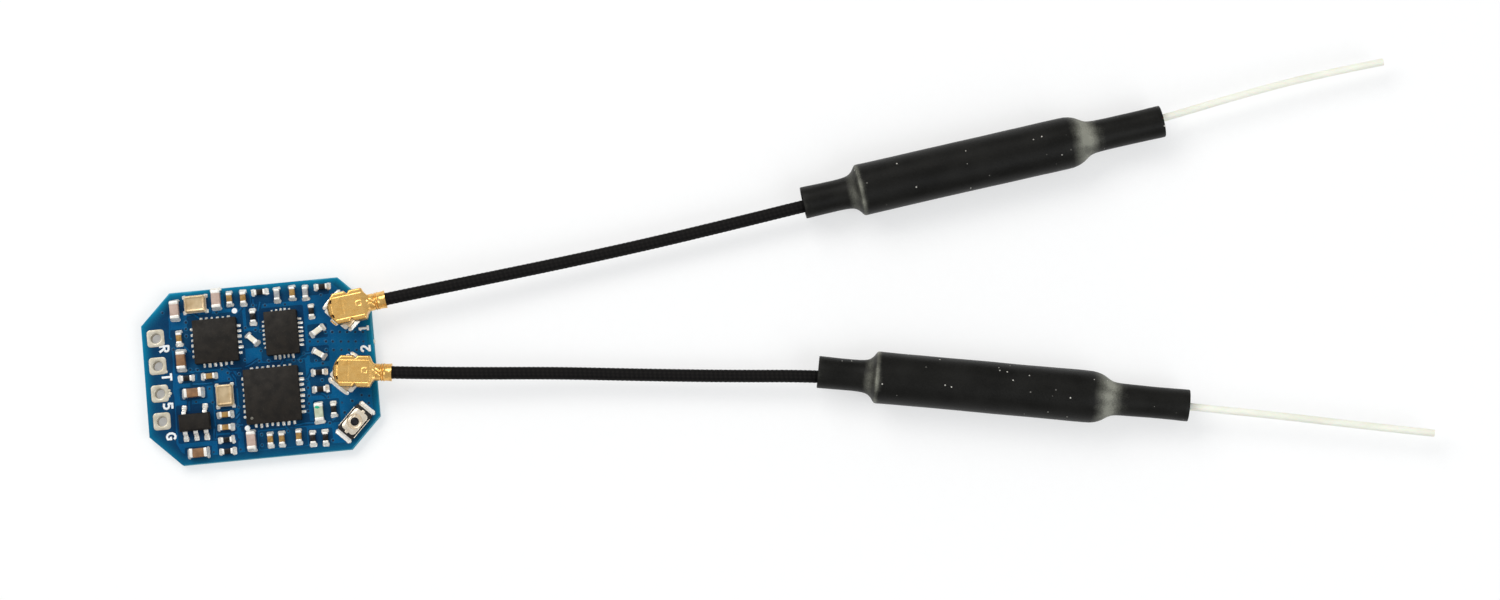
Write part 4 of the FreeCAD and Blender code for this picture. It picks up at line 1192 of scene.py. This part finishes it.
buttonLook = {
    "at": (8.25, -5.5), "turn": 45.0, "housing": (2.9, 1.8, 0.5), "corner": 0.15, "well": 0.72,
    "cover": (2.25, 1.45, 0.07), "coverCorner": 0.3, "bead": 0.69, "beadHeight": 0.09,
    "plunger": 0.33, "play": 0.045, "crown": 0.12, "flange": 0.6, "flangeSheet": 0.14, "stand": 0.14,
    "terminal": (1.56, 0.42, 0.09), "solder": (1.3, 6.0, 0.85),
    "disc": (0.62, 0.24, 0.04), "discFoot": 0.08, "travel": 0.14,  # radius, rise and sheet of the disc
}


def makeButton(look):  # heights are above the board until a piece is moved
    x, y, turn = *look["at"], look["turn"]
    spot = (x, y, boardTop, turn)
    (length, width, lid), well = look["housing"], look["well"]
    body = ringsRound([
        ("block", 0.01, 0.02), ("block", 0.0, 0.05), ("block", 0.0, lid - 0.05),
        ("block", 0.012, lid - 0.015), ("block", 0.045, lid), ("round", well + 0.02, lid),
        ("round", well, lid - 0.02), ("round", well, 0.09), ("round", 0.3, 0.08),
        ("round", 0.3, 0.02)], length, width, look["corner"])
    makePiece("buttonHousing", body.moved(*spot), "black moulding", "black_plastic", "button_housing")
    coverLength, coverWidth, sheet = look["cover"]
    top, bead, hole = lid + sheet, look["bead"], look["plunger"] + look["play"]
    plate = ringsRound([
        ("block", 0.01, lid + 0.004), ("block", 0.0, lid + 0.02), ("block", 0.004, top - 0.012),
        ("block", 0.03, top), ("round", bead + 0.04, top), ("round", bead + 0.015, top + 0.025),
        ("round", bead - 0.02, top + look["beadHeight"]), ("round", bead - 0.055, top + 0.05),
        ("round", bead - 0.1, top - 0.02), ("round", bead - 0.14, top - 0.035),
        ("round", hole + 0.1, top + 0.005), ("round", hole + 0.06, top + 0.05),
        ("round", hole + 0.02, top + 0.055), ("round", hole + 0.002, top + 0.03),
        ("round", hole, top - 0.02), ("round", hole, lid + 0.004)],
        coverLength, coverWidth, look["coverCorner"])
    for side in (-1, 1):  # end tongues, and hooks over the long sides
        plate.add(block(0.34, 0.3, 0.05, lid + 0.006, top - 0.006, 0.02), side * coverLength / 2)
        plate.add(block(length - 0.7, 0.05, 0.02, lid - 0.1, lid + 0.012, 0.01), -0.1,
                  side * (width / 2 - 0.005))
    makePiece("buttonCover", plate.moved(*spot), "pressed steel", "stainless", "button_cover")
    wide, deep, thick = look["terminal"]
    reach = length / 2
    path = [(reach - 0.06, 0.3), (reach + 0.03, 0.29), (reach + 0.08, 0.26), (reach + 0.11, 0.18),
            (reach + 0.15, 0.13), (reach + 0.24, 0.11), (reach + deep, 0.09)]
    strip, ends, solder = bentStrip(path, wide, thick), Solid(), []
    for side in (0, 180):
        ends.add(strip, *spot[:3], turn + side)
        solder.append((*outwards(x, y, turn + side, reach + 0.09), boardTop, turn + side,
                       *look["solder"]))
    makePiece("buttonTerminals", ends, "tinned end", "tinned_metal", "button_terminals")
    solderEnds("buttonSolder", solder)
    crown, radius, soft = top + look["stand"], look["plunger"], look["crown"]
    flange, under = look["flange"], lid - 0.02
    profile = [(0.0, under - look["flangeSheet"]), (flange, under - look["flangeSheet"]),
               (flange, under - 0.02), (flange - 0.02, under), (radius, under), (radius, crown - soft)]
    profile += [(radius - soft + soft * math.cos(a), crown - soft + soft * math.sin(a))
                for a in (math.pi / 2 * i / 5 for i in range(1, 6))]
    profile += [(radius * 0.35, crown - 0.004), (0.0, crown - 0.012)]
    makePiece("buttonPlunger", Solid().spin(profile).moved(*spot), "plunger rubber", "black_plastic",
              "button_plunger", body="button")
    radius, rise, sheet = look["disc"]
    foot, cap = look["discFoot"], (radius ** 2 + rise ** 2) / (2 * rise)
    steps = [math.asin(radius / cap) * i / 8 for i in range(9)]
    dome = [(r * math.sin(a), max(foot, foot + rise - cap + r * math.cos(a)))
            for r, angles in ((cap - sheet, steps), (cap, steps[::-1])) for a in angles]
    snap = makePiece("snapDisc", Solid().spin(dome).moved(*spot), "pressed steel", "stainless",
                     "button_snap_disc")
    (boardTop + foot) * mm
    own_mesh(snap)


makeButton(buttonLook)
print("button ready")


# Coaxial jacks and plugs

jackLook = {
    "places": [(8.1, 4.8), (8.1, -1.0)], "turns": [-45.0, 45.0], "side": 2.6, "corner": 0.12,
    "height": 0.35, "ring": 1.0, "wall": 0.15, "ringTop": 1.25, "tabWidth": 1.8, "tabReach": 0.27,
    "tabSheet": 0.08, "solder": [  # turn, inset from the edge, growth
        (0, -0.1, (1.45, 7.9, 0.85)), (180, -0.1, (1.45, 7.9, 0.85)), (-90, 0.02, (1.3, 2.8, 0.8))],
}


def makeJack(n, look):  # heights are above the board until a piece is moved
    (x, y), turn = look["places"][n - 1], look["turns"][n - 1]
    half, height, ring = look["side"] / 2, look["height"], look["ring"]
    base = ringsRound([
        ("block", 0.03, 0.0), ("block", 0.0, 0.03), ("block", 0.0, height - 0.05),
        ("block", 0.015, height - 0.015), ("block", 0.05, height), ("round", ring - 0.1, height),
        ("round", ring - 0.14, height - 0.03), ("round", ring - 0.14, 0.2), ("round", 0.3, 0.2),
        ("round", 0.3, 0.0)], look["side"], look["side"], look["corner"])
    makePiece("jackBase%d" % n, base.moved(x, y, boardTop, turn), "white polymer", "white_plastic",
              "antenna_jack_%d_base" % n)
    seat, top, inner = height + 0.004, look["ringTop"], ring - look["wall"]
    profile = [(inner, seat), (ring, seat), (ring, top - 0.35), (ring - 0.04, top - 0.3),
               (ring - 0.04, top - 0.2), (ring, top - 0.14), (ring, top - 0.05), (ring - 0.05, top),
               (inner + 0.03, top), (inner, top - 0.04), (inner, seat)]
    shell, sheet = Solid().spin(profile, 40), look["tabSheet"]
    path = [(inner + 0.02, seat + sheet / 2), (half - 0.03, seat + sheet / 2),
            (half + 0.05, seat + sheet / 2 - 0.02), (half + 0.1, seat - 0.05), (half + 0.11, 0.15),
            (half + 0.15, 0.09), (half + look["tabReach"], 0.07)]
    for side in (0, 180):
        shell.add(bentStrip(path, look["tabWidth"], sheet), turn=side)
    makePiece("jackShell%d" % n, shell.moved(x, y, boardTop, turn), "jack plating", "gold_plating",
              "antenna_jack_%d_shell" % n)
    solderEnds("jackSolder%d" % n, [
        (*outwards(x, y, turn + side, half - inset), boardTop, turn + side, *growth)
        for side, inset, growth in look["solder"]])


plugLook = {
    "turns": [6.604, -6.605], "top": 2.4, "low": 0.85, "axis": 1.5, "sheet": 0.16, "ring": 1.03,
    "wall": 0.22, "ringLow": 0.45, "step": 0.0425, "rim": 0.16, "roofDepth": 0.62, "ceiling": 0.6,
    "wallInset": 0.03,
    "side": [(-1.34, 0.36), (-1.2, 0.62), (-1.06, 0.86), (-0.66, 1.37), (-0.58, 1.42), (0.46, 1.42),
             (0.52, 1.37), (0.66, 1.18), (0.72, 1.18), (0.86, 1.37), (0.92, 1.42), (1.98, 1.42),
             (2.06, 1.36), (2.2, 1.0), (2.42, 0.72), (2.6, 0.62)],
    "hole": [(-1.15, 0.5), (-0.84, 0.5), (-0.77, 0.8), (-0.88, 0.86)],
    "groove": (1.02, 0.03, 0.035),  # place across, depth and width of the fold's line
    "slopes": [(1.9, 2.5, 0.2), (-0.82, -1.34, 0.42)],  # start, end, depth
    "crease": (0.1, 0.06, 0.01), "creaseSide": 0.9,  # a faint one across: place, width, depth
    "lance": (1.62, 0.46, 0.055, 0.024),  # the raised square: place, size, width and height of its rim
    "dents": (1.1, 0.006, 0.014),  # size, least depth, change
    "facets": (4, 0.03), "ripple": (3, 2, 0.02), "lip": (3.72, 0.28, 0.045), "most": 0.06,
    "crosses": (2.72, 1.15, 0.075, 0.085), "crossEnd": 3.05,  # middle, slant, width, depth
    "crimp": 0.755, "crimpStart": 2.1, "crimpStep": 0.045, "end": 4.0, "barrelSides": 56,
    "bands": [(3.08, 0.06, 0.05), (3.3, 0.06, 0.05), (2.98, 0.05, -0.05), (3.19, 0.035, -0.05)],
    "lining": [(0.66, 0.0), (0.59, -0.04), (0.585, -0.5)],  # radius, place from the end
}


def hump(distance, width):  # 1 at no distance, falling away on both sides
    return math.exp(-(distance / width) ** 2)


def plugRoof(look, outline):  # the pressed top, with rolled rims, corner holes and a raised square
    top, rim = look["top"], look["rim"]
    place, deep, wide = look["groove"]
    middle, side, edge, tall = look["lance"]
    line, spread, hollow = look["crease"]
    lump, least, change = look["dents"]
    holes = [[(u, way * v) for u, v in look["hole"]][::-way] for way in (-1, 1)]

    def height(point, reach):
        u, v = point.x, abs(point.y)
        drop = rim - math.sqrt(max(0.0, rim ** 2 - max(0.0, rim - reach) ** 2))
        drop += deep * hump(v - place, wide) * (-0.75 < u < 1.95)
        for start, end, depth in look["slopes"]:
            share = min(1.0, max(0.0, (u - start) / (end - start)))
            drop += depth * share * share * (3 - 2 * share if end > 0 else 1)
        drop += hollow * hump(u - line, spread) * (v < look["creaseSide"])
        drop -= tall * hump(((u - middle) ** 4 + v ** 4) ** 0.25 - side / 2, edge)
        return top - drop - least - change * abs(noise.noise(Vector((u * lump, point.y * lump, 3.0))))

    return pressed(outline, top - look["roofDepth"], height, holes, look["step"])


def plugBarrel(look):  # a crimped tube with crossed creases, two bands and a flared lip
    sides, crimp, start, end = (look[key] for key in ("barrelSides", "crimp", "crimpStart", "end"))
    (facets, flat), (middle, slant, wide, deep) = look["facets"], look["crosses"]
    (lipStart, lipReach, flare), (fine, coarse, ripple) = look["lip"], look["ripple"]
    steps = [2 * math.pi * j / sides for j in range(sides)]
    steps = [a - 2 * math.pi if a > math.pi else a for a in steps]

    def shape(u, angle):
        lift = math.cos(angle)
        radius = crimp * (1 + flat * math.cos(facets * angle))
        radius += sum(tall * hump(u - place, half) for place, half, tall in look["bands"])
        if lift > 0 and u < look["crossEnd"]:  # creases cross on the top
            for way in (-1, 1):
                away = abs(angle * crimp + way * (u - middle) * slant)
                radius -= deep * hump(away, wide) * min(1.0, lift * 2)
        rough = ripple * noise.noise(Vector((u * fine, lift * coarse, 5)))
        radius += flare * max(0.0, (u - lipStart) / lipReach) + rough
        return min(radius, crimp + look["most"])

    count = int((end - start) / look["crimpStep"]) + 1
    stations = [start + i * look["crimpStep"] for i in range(count)] + [end]
    rings = [[(u, shape(u, a) * math.sin(a), shape(u, a) * math.cos(a)) for a in steps]
             for u in stations]
    rings += [[(end + u, radius * math.sin(a), radius * math.cos(a)) for a in steps]
              for radius, u in look["lining"]]
    return Solid().loft(rings)


def makePlug(n, look):  # heights are above the board until the shell is moved
    (x, y), turn = jackLook["places"][n - 1], look["turns"][n - 1]
    top, low, ring = look["top"], look["low"], look["ring"]
    walls = [(u, -v) for u, v in look["side"]] + [(u, v) for u, v in reversed(look["side"])]
    shell = plugRoof(look, walls)
    outer, ceiling = shrunk(walls, look["wallInset"]), top - look["ceiling"]
    inner = shrunk(walls, look["wallInset"] + look["sheet"])
    rings = [[(*p, z) for p in loop] for loop, z in (
        (inner, ceiling), (outer, ceiling), (outer, low + 0.03), (shrunk(outer, 0.02), low),
        (inner, low), (inner, ceiling))]
    shell.add(Solid().loft(rings, False, False))
    rim, skirt, skirtTop = ring + look["wall"], look["ringLow"], low + 0.12
    shell.add(Solid().spin([(ring, skirt), (rim - 0.03, skirt), (rim, skirt + 0.03), (rim, skirtTop),
                            (ring, skirtTop), (ring, skirt)], 40))
    opening = rayRect(2 * ring + 0.06, 2 * ring + 0.06, ring + 0.03, 40)
    floor = [tuple(p) for p in shrunk(walls, look["sheet"])]
    shell.add(pressed(floor, low + 0.02, low + 0.08, [opening]))
    shell.add(plugBarrel(look), z=look["axis"])
    makePiece("plugShell%d" % n, shell.moved(x, y, boardTop, turn), "gold plating", "gold_plating",
              "antenna_plug_%d_shell" % n, body="antenna_%d" % n, crease=40)


for n in (1, 2):
    makeJack(n, jackLook)
    makePlug(n, plugLook)
print("jacks and plugs ready")


# Heat-shrink sleeves

sleeveLook = {
    "joints": [((74.62, 13.543), 7.451), ((74.22, -9.618), -10.733)], "axis": 2.375,
    "wall": 0.28, "leastBore": 0.9, "cut": 0.45, "most": (2.372, 2.1), "sides": 56, "rounding": 0.03,
    "stretch": 0.35, "waves": [(0.55, 0.028), (1.9, 0.01)], "patches": (1.3, 0.75, 0.5),
    "profile": [  # distance along the sleeve, radius, whitening: partly how far it was stretched, partly painted sheen
        (-24.1, 1.435, 0.1), (-24.0, 1.46, 0.1), (-23.4, 1.45, 0.0), (-22.2, 1.43, 0.0),
        (-21.0, 1.42, 0.0), (-20.4, 1.435, 0.0), (-20.0, 1.47, 0.1), (-19.7, 1.53, 0.35),
        (-19.45, 1.64, 0.5), (-19.25, 1.8, 0.4), (-19.08, 2.0, 0.25), (-18.94, 2.2, 0.4),
        (-18.84, 2.31, 1.1), (-18.72, 2.355, 0.9), (-18.5, 2.36, 0.2), (-18.1, 2.35, 0.0),
        (-17.0, 2.345, 0.0), (-14.0, 2.35, 0.0), (-11.0, 2.345, 0.0), (-8.0, 2.355, 0.0),
        (-5.0, 2.35, 0.0), (-2.0, 2.36, 0.0), (-0.8, 2.37, 0.0), (0.2, 2.365, 0.0), (0.8, 2.34, 0.1),
        (1.2, 2.27, 0.35), (1.55, 2.16, 0.7), (1.85, 2.02, 1.05), (2.1, 1.86, 1.35), (2.35, 1.7, 1.4),
        (2.65, 1.56, 1.2), (3.0, 1.49, 0.7), (3.5, 1.455, 0.2), (4.6, 1.44, 0.0), (6.2, 1.43, 0.0),
        (8.0, 1.44, 0.0), (9.2, 1.455, 0.0), (9.55, 1.45, 0.05), (9.6, 1.42, 0.1)],
}


def makeSleeve(n, look):
    (x, y), turn = look["joints"][n - 1]
    rows, sides, profile = [], look["sides"], look["profile"]
    for start, end in zip(profile, profile[1:]):
        cuts = max(1, round((end[0] - start[0]) / look["cut"]))
        rows += [[a + (b - a) * i / cuts for a, b in zip(start, end)] for i in range(cuts)]
    rows.append(profile[-1])
    outer = [(s, r, p, 1.0, look["most"][0]) for s, r, p in rows]
    inner = [(s, max(r - look["wall"], look["leastBore"]), p * 0.3, 0.5, look["most"][1])
             for s, r, p in reversed(rows)]
    for i, shift in ((0, -look["rounding"]), (-1, look["rounding"])):  # rounds the cut ends inwards
        inner[i] = (inner[i][0] + shift, inner[i][1], 0.0, *inner[i][3:])
    rings, pullAndSheen, (size, least, change) = [], [], look["patches"]
    for s, r, p, share, most in outer + inner:
        rings.append([])
        for a in (2 * math.pi * j / sides for j in range(sides)):
            spot = Vector((s * look["stretch"], r * math.cos(a), r * math.sin(a) + 40 * n))
            wave = sum(noise.noise(spot * fine) * tall for fine, tall in look["waves"])
            radius = min(r + wave * share, most)
            rings[-1].append((s, radius * math.cos(a), radius * math.sin(a)))
            pullAndSheen.append(p * (least + change * noise.noise(spot * size)))
    name, tubeSolid = "heatShrink%d" % n, Solid().loft(rings, closed=True)
    mesh = toMesh(name, tubeSolid.moved(x, y, look["axis"], turn), "heat shrink", 50, ("pullAndSheen", pullAndSheen))
    settle(show(name, mesh), "heat_shrink", "heat_shrink_%d" % n, body="antenna_%d" % n)


for n in (1, 2):
    makeSleeve(n, sleeveLook)
print("sleeves ready")
